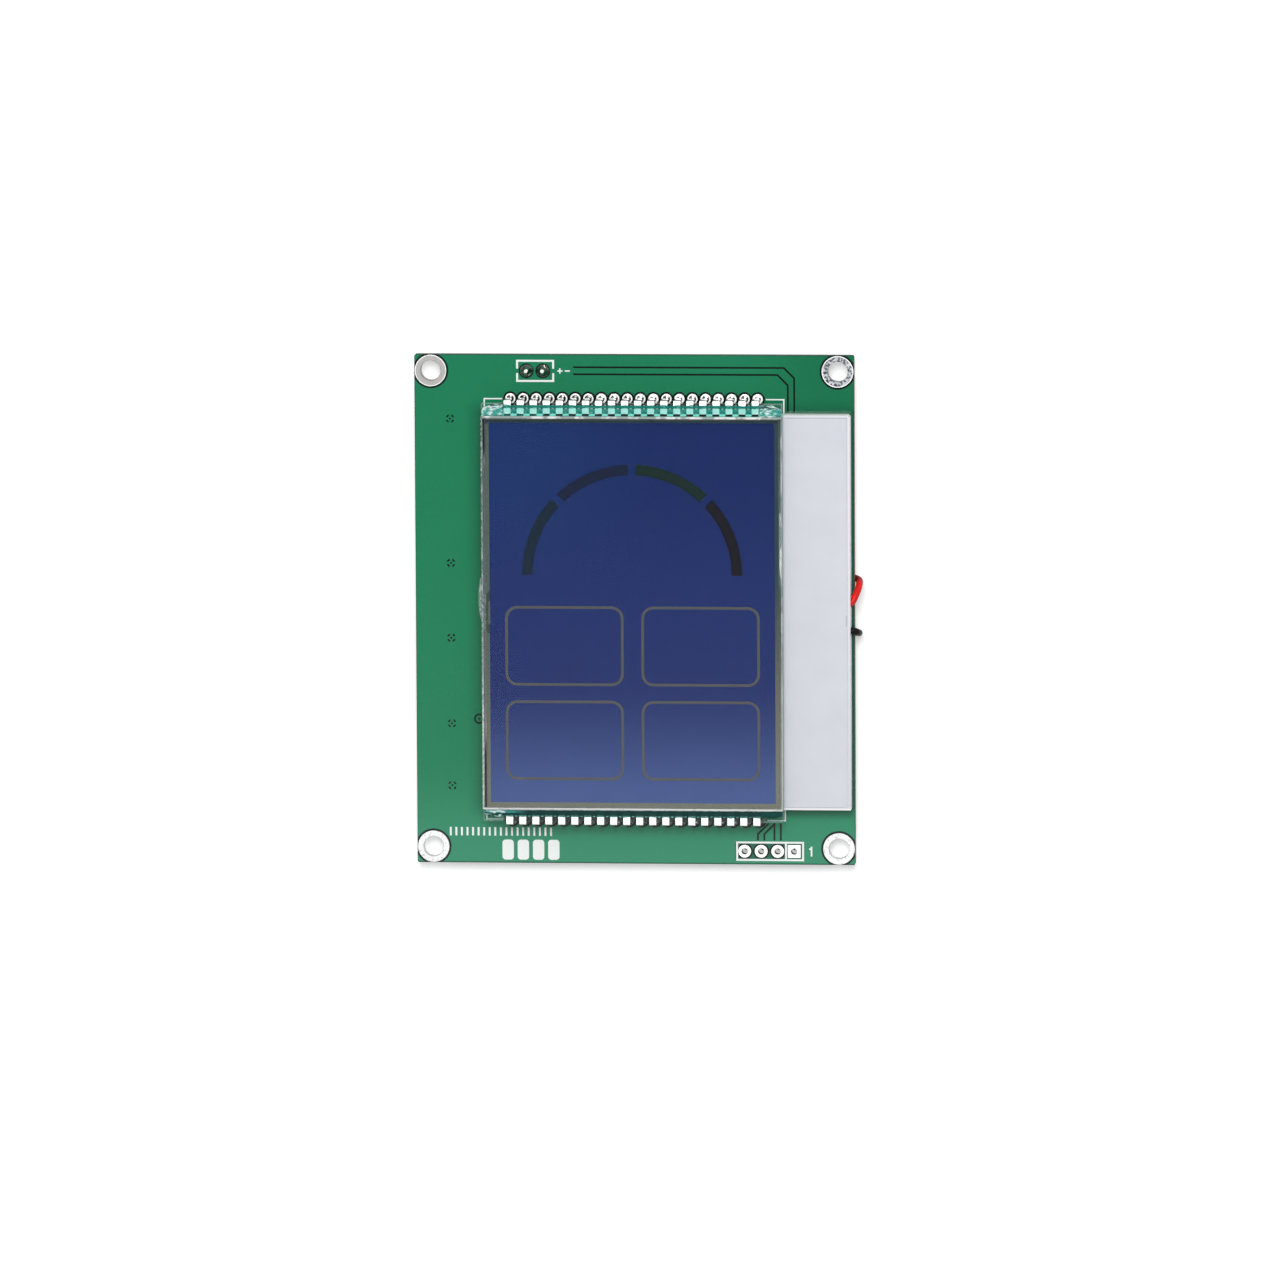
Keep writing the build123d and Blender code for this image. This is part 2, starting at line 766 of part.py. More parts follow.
def strip_conductor(y):
    """The bare end of a lead on the LED strip."""
    length = lead_start_x - conductor_start_x
    centre = (lead_start_x + conductor_start_x) / 2
    return Pos(centre, y, lead_level) * Rot(0, 90, 0) * Cylinder(conductor_diameter / 2, length)


def strip_solder(y):
    """A drop of solder on the LED strip round the bare end of a lead."""
    x = conductor_start_x + 0.2
    bottom = tray_bottom + tray_floor + strip_thickness
    top = lead_level + conductor_diameter / 2 + 0.1
    drop = turned([
        (0, bottom), (strip_solder_radius, bottom),
        (0.8 * strip_solder_radius, bottom + 0.6 * (top - bottom)),
        (0.4 * strip_solder_radius, top), (0, top),
    ])
    return Pos(x, y, 0) * drop - strip_conductor(y)


def chip_body():
    body = centred(chip_size, chip_size, -chip_standoff - chip_height, chip_height, chip_x, chip_y)
    return chamfer(body.edges().group_by(Axis.Z)[0] + body.edges().group_by(Axis.Z)[-1], chip_chamfer)


def chip_lead():
    """One bent lead on the chip's +X side, about the chip's centre."""
    side = chip_size / 2
    level = -chip_standoff - chip_height / 2
    step = chip_lead_reach - chip_foot
    thick = chip_lead_thickness
    profile = Polyline(
        (side, 0, level + thick / 2),
        (side + 0.5 * step, 0, level + thick / 2),
        (side + step, 0, 0),
        (side + chip_lead_reach, 0, 0),
        (side + chip_lead_reach, 0, -thick),
        (side + step + thick, 0, -thick),
        (side + 0.5 * step + thick, 0, level - thick / 2),
        (side, 0, level - thick / 2),
        close=True,
    )
    return extrude(make_face(profile), chip_lead_width / 2, both=True)


def chip_leads():
    one = chip_lead()
    places = [(i - (chip_leads_per_side - 1) / 2) * chip_lead_pitch for i in range(chip_leads_per_side)]
    return [
        Pos(chip_x, chip_y, 0) * Rot(0, 0, turn) * Pos(0, place, 0) * one
        for turn in (0, 90, 180, 270)
        for place in places
    ]


def chip_parts(places, length, width, height, end):
    """The bodies and the end caps of like two-ended parts on the board's back."""
    bodies = []
    caps = []
    for x, y, turn in places:
        place = Pos(x, y, -height / 2) * Rot(0, 0, turn)
        bodies.append(place * Box(length - 2 * end, width, height))
        for side in (-1, 1):
            caps.append(place * Pos(side * (length - end) / 2, 0, 0) * Box(end, width, height))
    return bodies, caps


def print_block(x, y):
    return block(x, y, (board_top, board_top + print_thickness))


def board_legend():
    """White print: the cell's outline beside the pins, boxes round the holes, and plain marks."""
    shapes = []
    half_width = cell_width / 2 + outline_margin
    half_height = pin_row_y + outline_row_margin
    pin_end = pin_xs[-1] + outline_pin_margin
    for x in (-1, 1):
        upright = sorted((x * half_width, x * (half_width - outline_line)))
        for y in (-1, 1):
            level_line = sorted((y * half_height, y * (half_height - outline_line)))
            side = sorted((y * half_height, y * tray_height_y / 2))
            arm = sorted((x * half_width, x * pin_end))
            shapes.append(print_block(arm, level_line) + print_block(upright, side))
    shapes.append(header_box())
    shapes += lead_box()
    shapes += plain_marks()
    return shapes


def header_box():
    """A box round the header holes, with a bar that sets the first hole apart."""
    middle_x = header_right_x - (header_ways - 1) / 2 * header_pitch + header_box_shift
    box = frame(
        header_box_width, header_box_height, mark_line, board_top, print_thickness, middle_x, header_y,
    )
    bar_x = header_right_x - header_pitch / 2
    return box + centred(mark_line, header_box_height, board_top, print_thickness, bar_x, header_y)


def lead_box():
    """Two facing brackets round the lead holes."""
    middle_x = lead_pad_left_x + lead_pad_pitch / 2 + lead_box_shift
    box = frame(
        lead_box_width, lead_box_height, mark_line, board_top, print_thickness, middle_x, lead_pad_y,
    )
    box -= centred(2 * lead_box_width, lead_box_gap, board_top, print_thickness, middle_x, lead_pad_y)
    return list(box.solids())


def plain_marks():
    """A plus, a minus, a figure one, a row of ticks and four plain blocks."""
    def mark(width, height, x, y):
        return centred(width, height, board_top, print_thickness, x, y)

    plus_x = lead_pad_xs[1] + sign_distance
    plus = mark(sign_size, sign_stroke, plus_x, lead_pad_y)
    plus += mark(sign_stroke, sign_size, plus_x, lead_pad_y)
    minus = mark(sign_size, sign_stroke, plus_x + sign_pitch, lead_pad_y)
    one_x = header_right_x + one_distance
    one = mark(one_stroke, one_height, one_x, header_y)
    one += mark(one_stroke, one_stroke, one_x - one_stroke, header_y + one_height / 2 - 1.5 * one_stroke)
    tick_x = tick_side_distance - board_right
    tick_y = tick_edge_distance - board_upper
    ticks = [mark(tick_width, tick_height, tick_x + tick_pitch * i, tick_y) for i in range(tick_count)]
    one_bar = extrude(RectangleRounded(bar_width, bar_height, bar_corner_radius), print_thickness)
    bar_x = bar_side_distance - board_right
    bars = [Pos(bar_x + bar_pitch * i, header_y, board_top) * one_bar for i in range(bar_count)]
    return [plus, minus, one] + ticks + bars


def save(name, shapes):
    """Writes one node: a single solid or a group of separate solids."""
    solids = []
    for shape in shapes if isinstance(shapes, list) else [shapes]:
        solids += shape.solids()
    export_step(solids[0] if len(solids) == 1 else Compound(solids), f"parts/{name}.step")


os.makedirs("parts", exist_ok=True)

# Board and its plated holes
save("circuit_board", circuit_board())
save("corner_hole_rings", [
    Pos(x, y, 0) * plated_hole(screw_hole_radius, screw_ring_radius) for x, y in screw_places
])
save("header_hole_rings", [ring for x in header_xs for ring in header_rings(x)])
save("lead_hole_rings", [
    Pos(x, lead_pad_y, 0) * plated_hole(lead_hole_radius, lead_ring_radius) for x in lead_pad_xs
])
pin_ring = Pos(0, pin_row_y, 0) * plated_hole(pin_hole_radius, pin_ring_radius)
save("top_pin_hole_rings", row(pin_ring, True))
save("bottom_pin_hole_rings", row(pin_ring, False))
save("board_legend", board_legend())

# Pins and their solder
save("top_row_pins", row(lcd_pin(), True))
save("bottom_row_pins", row(lcd_pin(), False))
save("top_row_solder", row(pin_solder(), True))
save("bottom_row_solder", row(pin_solder(), False))
save("top_pin_resin", pin_resin(True))
save("bottom_pin_resin", pin_resin(False))

# LCD cell
segments = arc_segments()
windows = [window_outline(x, y) for x, y in window_places]
crystal = centred(view_width, view_height, ledge, cell_gap)
for shape in list(segments.values()) + windows:
    crystal -= shape
crystal = crystal + port_mouth() - port_bar()
save("rear_polarizer", centred(
    polarizer_width, polarizer_height, rear_polarizer_bottom, polarizer_thickness,
))
save("rear_glass", centred(cell_width, rear_glass_height, rear_glass_bottom, glass_thickness))
save("perimeter_seal", [seal_ring(), port_bar()])
save("liquid_crystal_layer", crystal)
for name, segment in segments.items():
    save(f"gauge_segment_{name}", segment)
save("window_outlines", windows)
save("front_glass", centred(cell_width, front_glass_height, front_glass_bottom, glass_thickness))
save("front_polarizer", centred(polarizer_width, polarizer_height, front_glass_top, polarizer_thickness))
save("end_seal", end_seal())

# Backlight
guide_left = tray_left_x + tray_wall + tray_clearance
guide_half = tray_height_y / 2 - tray_wall - tray_clearance
guide_x = (guide_left, light_guide_right_x)
guide_y = (-guide_half, guide_half)
tape_half = tray_height_y / 2 - tape_margin
save("backlight_tapes", [
    block((x, x + tape_width), (-tape_half, tape_half), (board_top, tray_bottom))
    for x in (tray_left_x + tape_margin, tray_right_x - tape_margin - tape_width)
])
save("backlight_tray", backlight_tray())
save("backlight_reflector", block(guide_x, guide_y, (tray_bottom + tray_floor, guide_bottom)))
save("light_guide", block(guide_x, guide_y, (guide_bottom, diffuser_bottom)))
save("diffuser_film", block(guide_x, guide_y, (diffuser_bottom, rear_polarizer_bottom)))
save("led_strip_board", led_strip())
save("led_bodies", [led_body(y) for y in led_places()])
save("led_windows", [led_window(y) for y in led_places()])
save("led_cover_film", block(
    (film_left_x, tray_right_x - tray_wall - tray_clearance),
    (-guide_half, guide_half),
    (rear_polarizer_bottom - film_thickness, rear_polarizer_bottom),
))

# Leads
save("red_lead", lead("red", red_route))
save("black_lead", lead("black", black_route))
conductors = [lead_conductor(black_route, lead_pad_xs[0]), lead_conductor(red_route, lead_pad_xs[1])]
save("lead_conductors", conductors + [strip_conductor(y) for y in (red_exit_y, black_exit_y)])
save("strip_solder", [strip_solder(y) for y in (red_exit_y, black_exit_y)])
lead_joint = solder_joint(
    lead_hole_radius, lead_ring_radius, lead_solder_tip_radius, lead_solder_front, lead_solder_back,
)
save("lead_solder", [
    Pos(x, lead_pad_y, 0) * lead_joint - conductor for x, conductor in zip(lead_pad_xs, conductors)
])

# Parts on the board's back
save("driver_chip", chip_body())
save("driver_chip_leads", chip_leads())
bodies, caps = chip_parts(
    capacitor_places, capacitor_length, capacitor_width, capacitor_height, capacitor_end,
)
save("capacitor_bodies", bodies)
save("capacitor_ends", caps)
bodies, caps = chip_parts(resistor_places, resistor_length, resistor_width, resistor_height, resistor_end)
save("resistor_bodies", bodies)
save("resistor_ends", caps)
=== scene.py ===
# %% [markdown]
# A segment LCD module, dressed for its picture. The imported CAD model is the fixed frame: its nodes stand
# where the real pieces stand, in metres, and this script gives them their finishes, and swaps the ones
# whose plain solids lack detail for finer meshes in the same place. The frame is loaded first.

# %% Load the frame
import math

import bmesh
import bpy
from mathutils import Matrix, Vector, noise


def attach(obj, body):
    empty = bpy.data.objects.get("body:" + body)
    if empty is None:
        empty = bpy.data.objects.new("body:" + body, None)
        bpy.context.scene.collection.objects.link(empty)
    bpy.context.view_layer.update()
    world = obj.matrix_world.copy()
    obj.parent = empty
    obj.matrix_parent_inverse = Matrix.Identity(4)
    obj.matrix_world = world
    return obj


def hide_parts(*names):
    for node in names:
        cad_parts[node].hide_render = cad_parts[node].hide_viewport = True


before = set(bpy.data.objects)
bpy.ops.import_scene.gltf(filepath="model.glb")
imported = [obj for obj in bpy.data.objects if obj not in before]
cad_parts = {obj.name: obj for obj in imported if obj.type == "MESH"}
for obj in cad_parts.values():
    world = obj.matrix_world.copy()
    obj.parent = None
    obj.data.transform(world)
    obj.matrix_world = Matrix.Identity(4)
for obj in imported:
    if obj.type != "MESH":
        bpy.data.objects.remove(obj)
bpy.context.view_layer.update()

mm = 0.001
scene = bpy.context.scene

# %% Helpers
def linked(name, data):
    """A new object in the scene."""
    piece = bpy.data.objects.new(name, data)
    scene.collection.objects.link(piece)
    return piece


def settled(piece):
    """The piece's mesh with its curve or modifiers worked out."""
    graph = bpy.context.evaluated_depsgraph_get()
    return bpy.data.meshes.new_from_object(piece.evaluated_get(graph), depsgraph=graph)


def mesh_from(work, name):
    """Ends a bmesh as a mesh."""
    mesh = bpy.data.meshes.new(name)
    work.to_mesh(mesh)
    work.free()
    return mesh


# %% [markdown]
# The camera stands where the photographer's stood: two metres off with a long lens, looking almost straight
# down, a few degrees from above the module's top right corner. Its axes are worked out one by one, because a
# display is a flat thing and a small turn of the picture would show at once.

# %% Camera
camera_distance = 2.0
camera_lean_right = math.radians(5.1)
camera_lean_up = math.radians(6.8)
camera_roll = 0.005
camera_target = Vector((0.756, -4.65, 1.6)) * mm

towards_camera = Vector((math.tan(camera_lean_right), math.tan(camera_lean_up), 1)).normalized()
level_right = Vector((0, 1, 0)).cross(towards_camera).normalized()
level_up = towards_camera.cross(level_right)
picture_right = level_right * math.cos(camera_roll) - level_up * math.sin(camera_roll)
picture_up = level_up * math.cos(camera_roll) + level_right * math.sin(camera_roll)
lens = bpy.data.cameras.new("camera")
lens.sensor_width = 36
lens.lens = 366.9
lens.clip_start = 0.1
lens.clip_end = 20
camera = linked("camera", lens)
camera.matrix_world = (
    Matrix.Translation(camera_target + towards_camera * camera_distance)
    @ Matrix((picture_right, picture_up, towards_camera)).transposed().to_4x4()
)
scene.camera = camera
print("camera", [round(x, 3) for x in camera.location])

# %% [markdown]
# Two thin leads feed the backlight. They leave its right side, curl over the edge of the board and run
# along the back to two holes at the top left. A soft wire has no corners, so each one is a NURBS curve: the
# points only pull on the line, which then bends as evenly as wire does.

# %% Routes of the leads, in millimetres
lead_diameter = 1.05
red_route = [
    (31.2, 1.0, 3.3), (32.6, 1.15, 3.3), (33.55, 1.5, 3.25), (34.0, 2.5, 3.0), (34.4, 3.5, 2.3),
    (34.5, 4.2, 1.3), (34.45, 4.55, 0.2), (34.1, 4.7, -0.75), (33.2, 4.9, -1.05), (32.2, 6.4, -0.85),
    (30.9, 10.2, -0.66), (28.9, 15.6, -0.66), (27.9, 22.4, -0.66),
    (26.6, 29.4, -0.66), (22.8, 35.1, -0.66), (13.5, 36.5, -0.66), (4.6, 35.9, -0.66), (-4.0, 36.7, -0.66),
    (-9.4, 36.3, -0.66), (-12.726, 36.620, -0.66),
]
black_route = [
    (31.2, -2.9, 3.3), (33.4, -2.75, 3.3), (34.15, -3.0, 3.0), (34.4, -3.35, 1.7), (34.4, -3.5, 0.2),
    (34.15, -3.65, -0.85), (33.3, -3.5, -1.05), (32.3, -2.4, -0.8), (31.1, -0.6, -0.66), (29.2, 3.4, -0.66),
    (27.2, 10.2, -0.66), (26.1, 17.9, -0.66), (25.1, 26.0, -0.66), (22.4, 33.3, -0.66), (13.4, 34.9, -0.66),
    (4.4, 34.4, -0.66), (-4.4, 35.0, -0.66), (-10.2, 34.4, -0.66), (-13.6, 34.2, -0.66),
    (-15.4, 34.75, -0.66), (-15.913, 35.653, -0.66),
]


# %% Leads
def soft_wire(name, points, diameter, resolution=12):
    """A round wire on a smooth line that the points pull on."""
    curve = bpy.data.curves.new(name, "CURVE")
    curve.dimensions = "3D"
    curve.resolution_u = curve.render_resolution_u = resolution
    curve.bevel_depth = diameter / 2 * mm
    curve.bevel_resolution = 6
    curve.use_fill_caps = True
    line = curve.splines.new("NURBS")
    line.points.add(len(points) - 1)
    for point, place in zip(line.points, points):
        point.co = (*(Vector(place) * mm), 1)
    line.order_u = 3
    line.use_endpoint_u = True
    wire = linked(name, curve)
    bpy.context.view_layer.update()
    print(name, "length", round(line.calc_length() / mm, 1), "mm")
    return wire


red_wire = soft_wire("red_wire", red_route, lead_diameter)
black_wire = soft_wire("black_wire", black_route, lead_diameter)

# %% [markdown]
# Every finish is a small tree of nodes. Written as Python, its sums stay readable: one class wraps a socket
# and turns plus, minus and times into Math nodes, and another adds any node from its type, its settings and
# its inputs.


# %% Sums on links
def sums(operation, swapped=False):
    """A method for Wire that adds a Math node."""
    return lambda self, other: self.maths(operation, *((other, self) if swapped else (self, other)))


class Wire:
    """A number on its way along a link: sums with it add Math nodes."""

    def __init__(self, recipe, socket):
        self.recipe = recipe
        self.socket = socket

    def maths(self, operation, *values):
        return self.recipe.node("ShaderNodeMath", {"operation": operation}, dict(enumerate(values)))

    __add__, __radd__ = sums("ADD"), sums("ADD", True)
    __sub__, __rsub__ = sums("SUBTRACT"), sums("SUBTRACT", True)
    __mul__, __rmul__ = sums("MULTIPLY"), sums("MULTIPLY", True)
    __truediv__, __pow__ = sums("DIVIDE"), sums("POWER")
    __gt__, __lt__ = sums("GREATER_THAN"), sums("LESS_THAN")
    least, most = sums("MINIMUM"), sums("MAXIMUM")

    def __abs__(self):
        return self.maths("ABSOLUTE", self)


# %% Recipes of nodes
def paint(red, green, blue):
    """A colour as it is read off a screen, 0 to 255, as the linear numbers that shaders take."""
    shares = [value / 255 for value in (red, green, blue)]
    return (*(s / 12.92 if s <= 0.04045 else ((s + 0.055) / 1.055) ** 2.4 for s in shares), 1)


class Recipe:
    """A node tree under construction. A colour given as three numbers is one that is read off a screen."""

    def __init__(self, tree):
        self.tree = tree

    def node(self, kind, settings=None, sockets=None, out=0):
        made = self.tree.nodes.new(kind)
        for key, value in (settings or {}).items():
            setattr(made, key, value)
        for key, value in (sockets or {}).items():
            if isinstance(value, Wire):
                self.tree.links.new(value.socket, made.inputs[key])
            elif made.inputs[key].type == "RGBA" and len(value) == 3:
                made.inputs[key].default_value = paint(*value)
            else:
                made.inputs[key].default_value = value
        return Wire(self, made.outputs[out])

    def rise(self, value, low, high):
        """0 below low, 1 above high and smooth between them."""
        return self.node(
            "ShaderNodeMapRange", {"interpolation_type": "SMOOTHSTEP"},
            {"Value": value, "From Min": low, "From Max": high},
        )

    def ramp(self, value, low, high):
        """As rise, between places given in millimetres."""
        return self.rise(value, low * mm, high * mm)

    def colours(self, share, first, second):
        return self.node("ShaderNodeMix", {"data_type": "RGBA"}, {0: share, 6: first, 7: second}, out=2)

    def axes(self, vector):
        split = self.node("ShaderNodeSeparateXYZ", {}, {0: vector}).socket.node
        return [Wire(self, output) for output in split.outputs]


# %% Finishes
class Finish(Recipe):
    """A material, with places read from the piece's own coordinates."""

    def __init__(self, name):
        self.material = bpy.data.materials.new(name)
        self.material.use_nodes = True
        super().__init__(self.material.node_tree)
        self.tree.nodes.clear()
        self.place = self.node("ShaderNodeTexCoord", out=3)
        self.x, self.y, self.z = self.axes(self.place)
        _, self.lean_y, self.facing_up = self.axes(self.node("ShaderNodeNewGeometry", out=3))
        self.smooth_up = self.axes(self.node("ShaderNodeNewGeometry", out=1))[2]

    def grain(self, size, detail=2.0, stretch=(1, 1, 1), rough=0.5):
        """Noise whose lumps are about this many millimetres across."""
        where = self.node("ShaderNodeMapping", {}, {"Vector": self.place, "Scale": stretch})
        return self.node("ShaderNodeTexNoise", {}, {
            "Vector": where, "Scale": 1 / (size * mm), "Detail": detail, "Roughness": rough,
        })

    def apart(self, x, y, mirrored=False):
        """How far a place is from an upright line, or from that line and its three mirror images."""
        across, along = (abs(self.x), abs(self.y)) if mirrored else (self.x, self.y)
        return ((across - x * mm) ** 2 + (along - y * mm) ** 2) ** 0.5

    def relief(self, height, depth, strength=1.0):
        """A bump of this depth in millimetres."""
        return self.node("ShaderNodeBump", {}, {
            "Height": height, "Distance": depth * mm, "Strength": strength,
        })

    def mirror_share(self, straight=0.04):
        """How much of the light a clear surface throws back: little seen straight on, all at a slant."""
        slant = self.node("ShaderNodeLayerWeight", {}, {"Blend": 0.5}, out=1)
        return straight + (1 - straight) * slant**5

    def done(self, shader):
        end = self.tree.nodes.new("ShaderNodeOutputMaterial")
        self.tree.links.new(shader.socket, end.inputs["Surface"])
        return self.material

    def solid(self, sockets):
        return self.done(self.node("ShaderNodeBsdfPrincipled", {}, sockets))

    def clear(self, tint, cover, sockets):
        """A see-through surface: tinted, and covered by the Principled shader by a share of its own."""
        through = self.node("ShaderNodeBsdfTransparent", {}, {"Color": tint})
        skin = self.node("ShaderNodeBsdfPrincipled", {}, sockets)
        return self.done(self.node("ShaderNodeMixShader", {}, {0: cover, 1: through, 2: skin}))


def dress(node, material):
    """Gives a CAD node its finish."""
    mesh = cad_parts[node].data
    mesh.materials.clear()
    mesh.materials.append(material)


# %% [markdown]
# The board is glass fibre under green solder mask. Where copper lies under the mask it looks lighter, and
# the narrow gaps between two areas of copper look dark. The CAD board has those gaps as real grooves, so
# for them the finish only reads the height: below the top of the copper it turns dark, and on the cut sides
# the tan laminate shows. Painted shade darkens the mask beside the tray, beside the glass and towards the
# right, and a painted reflection lightens it towards the lower edge.

# %% Solder mask on the board
board_top = 1.6
groove_level = 1.585
board_half_x, board_half_y = 33.75, 39.25
corner_hole_x, corner_hole_y = 31.25, 36.75
header_x, header_y = 20.54, -37.2
header_places = [(header_x + 2.54 * step, header_y) for step in (-1.5, -0.5, 0.5, 1.5)]


def mask_finish():
    f = Finish("green_solder_mask")
    patch = f.grain(9.0, 3.0)
    fine = f.grain(0.35, 3.0)
    copper = f.colours(patch, (22, 124, 84), (30, 134, 94))
    # Painted shade: the mask is darker in a strip beside the tray and towards the left side of the glass.
    shade_beside_tray = f.ramp(f.x, 33.26, 33.34) * (abs(f.y) < 30.6 * mm)
    shade_beside_glass = f.ramp(f.x, -26.4, -23.4) * (1 - f.ramp(abs(f.y), 30, 33))
    in_box = (abs(f.x - header_x * mm) < 5.3 * mm) * (abs(f.y - header_y * mm) < 1.35 * mm)
    rim = f.ramp(abs(f.x), board_half_x - 0.13, board_half_x - 0.05)
    rim = rim.most(f.ramp(abs(f.y), board_half_y - 0.13, board_half_y - 0.05))
    rim = rim.most(f.ramp(f.y * -1, board_half_y - 0.25, board_half_y - 0.15))
    # Besides the copper's own tones, the darker green towards the right is painted shade, and the lighter
    # green towards the lower edge is a painted reflection.
    for share, colour in (
        (f.rise(fine, 0.35, 0.75), (30, 130, 90)),
        (0.5 * f.ramp(f.x, 16, 30) * f.ramp(f.y, -8, 8), (8, 100, 62)),
        (0.7 * f.ramp(f.y * -1, 22, 39), (62, 152, 118)),
        (0.6 * shade_beside_tray, (4, 74, 60)), (0.5 * shade_beside_glass, (14, 74, 52)), (0.6 * in_box, (8, 62, 52)),
        (0.75 * rim, (30, 58, 44)),
        (0.8 * (f.apart(corner_hole_x, corner_hole_y, True) < 2.76 * mm), (6, 40, 30)),
    ):
        copper = f.colours(share, copper, colour)
    groove = f.colours(fine, (0, 12, 10), (2, 26, 20))
    back = f.colours(patch, (20, 112, 74), (26, 122, 84))
    layers = f.grain(0.12, 2.0, (0.25, 0.25, 1.6))
    laminate = f.colours(layers, (96, 92, 52), (140, 126, 84))
    # The sides that face along y are dark teal, the others tan laminate.
    teal_top_bottom_sides = f.colours(layers, (10, 40, 34), (22, 58, 48))
    laminate = f.colours(abs(f.lean_y) > 0.5, laminate, teal_top_bottom_sides)
    high = f.ramp(f.z, groove_level, groove_level + 0.006)
    low = f.z < 0.1 * mm
    inside = f.node("ShaderNodeMath", {"operation": "COMPARE"}, {0: f.z, 1: 0.78 * mm, 2: 0.76 * mm})
    level = abs(f.facing_up) > 0.5
    face = f.colours(high, groove, copper)
    face = f.colours(low, face, back)
    distance = None
    for x, y in header_places:
        here = f.apart(x, y)
        distance = here if distance is None else distance.least(here)
    lined = (distance < 0.56 * mm) * (1 - level)
    body = f.colours(level, f.colours(inside, groove, laminate), face)
    body = f.colours(lined, body, (110, 108, 110))
    cut = (1 - level) * inside
    weave = f.grain(0.5)
    bump = f.relief(weave * (1 - cut) + 3.0 * layers * cut, 0.006, 0.5)
    return f.solid({
        "Base Color": body, "Metallic": lined, "Roughness": 0.09 + 0.05 * fine + 0.5 * cut * (1 - lined),
        "Normal": bump, "IOR": 1.5,
    })


dress("circuit_board", mask_finish())

# %% [markdown]
# White legend print is a thin rough ink. A flat white would look cut out of paper, so its edges of the
# screen printing show as a slight mottle.

# %% Legend print
def ink_finish():
    f = Finish("legend_ink")
    mottle = f.grain(0.25, 3.0)
    return f.solid({
        "Base Color": f.colours(mottle, (236, 242, 240), (252, 254, 254)), "Roughness": 0.55,
        "Normal": f.relief(mottle, 0.01, 0.6),
    })


dress("board_legend", ink_finish())

# %% [markdown]
# Rings, pads and joints are tinned: molten metal that froze with a slightly wavy skin. The wave matters
# more than the colour, because a mirror shows what it faces, and each lump faces something else.

# %% Tinned metals
def metal_finish(name, dark, light, lump, depth, rough, upright=None, streak=(1, 1, 1), side=None):
    """Upright faces may be smoother than level ones, as the cut sides of tin plate are, and may take a
    darker colour: painted shade on the sides and in the holes.
    """
    f = Finish(name)
    cloud = f.grain(lump, 3.0, streak)
    fine = f.grain(lump / 6, 2.0)
    level = f.rise(abs(f.facing_up), 0.5, 0.85)
    ground = rough if upright is None else upright + (rough - upright) * level
    tin = f.colours(f.rise(cloud, 0.3, 0.7), dark, light)
    return f.solid({
        "Base Color": f.colours(level, side, tin) if side else tin, "Metallic": 1.0,
        "Roughness": 0.16 * (fine - 0.5) + ground, "Normal": f.relief(cloud + 0.3 * fine, depth, 0.8),
    })


ring_tin = metal_finish("tinned_ring", (236, 237, 237), (246, 246, 245), 0.9, 0.004, 0.36)


def corner_ring_finish():
    """Flat tin round the screw holes, painted grey in the upper two and white in the lower two as a painted
    reflection, and mottled in the right one of the upper two.
    """
    f = Finish("corner_ring_tin")
    cloud = f.grain(0.4, 3.0)
    from_hole = f.apart(corner_hole_x, corner_hole_y, True)
    # Painted reflection: white on the lower rings and on the outer rim of each, grey on the rest of the
    # upper ones.
    white = (1 - f.ramp(f.y, 0, 10)).most(f.ramp(from_hole, 2.26, 2.32))
    plain = f.colours(cloud, (158, 157, 154), (182, 181, 178))
    mottled = f.colours(f.rise(cloud, 0.4, 0.62), (66, 68, 78), (192, 194, 200))
    grey = f.colours(f.ramp(f.x, -5, 5), plain, mottled)
    specks = f.colours(f.rise(cloud, 0.56, 0.66), (244, 245, 245), (206, 206, 204))
    tin = f.colours(white, grey, specks)
    hole_line = (from_hole < 1.6 * mm) * f.rise(f.facing_up, 0.8, 0.95)
    return f.solid({
        "Base Color": f.colours(0.7 * hole_line, tin, (96, 98, 100)),
        "Metallic": 1.0, "Roughness": 0.34, "Normal": f.relief(cloud, 0.004, 0.8),
    })


# The side colours of the pads and pins are painted shade on their upright faces.
pad_tin = metal_finish(
    "tinned_pad", (236, 236, 234), (250, 250, 248), 0.4, 0.006, 0.45, 0.3, side=(120, 120, 122),
)
# The lower row's pads are painted dark grey: painted shade beside the clips.
shaded_pad_tin = metal_finish("shaded_pad", (52, 60, 58), (120, 126, 122), 0.4, 0.006, 0.3)
pin_tin = metal_finish(
    "tinned_pin", (234, 234, 232), (252, 252, 250), 0.5, 0.004, 0.5, 0.14, (1, 1, 0.3),
    side=(112, 116, 114),
)


def cone_finish():
    """The tall joints are painted dark, a painted reflection of the dark room, and only the cut end of the
    wire keeps the white of tin.
    """
    f = Finish("solder_cone_skin")
    cloud = f.grain(0.7, 2.0)
    skin = f.colours(cloud, (40, 60, 52), (120, 136, 128))
    return f.solid({
        "Base Color": f.colours(f.ramp(f.z, 2.54, 2.62), skin, (240, 240, 236)),
        "Metallic": 1.0, "Roughness": 0.24, "Normal": f.relief(cloud, 0.003, 0.5),
    })


cone_painted_reflection = cone_finish()


def joint_finish():
    """Painted reflection: the joints at the left end are painted dark, as if mirroring the dark opening, and
    the ones at the right light, as if mirroring the bright cloth.
    """
    f = Finish("solder_skin")
    cloud = f.rise(f.grain(0.5, 3.0), 0.3, 0.7)
    left = f.colours(cloud, (12, 16, 16), (116, 118, 116))
    right = f.colours(cloud, (40, 44, 44), (190, 190, 188))
    return f.solid({
        "Base Color": f.colours(f.ramp(f.x, -11, -5), left, right),
        "Metallic": 1.0, "Roughness": 0.14, "Normal": f.relief(cloud, 0.006, 0.8),
    })


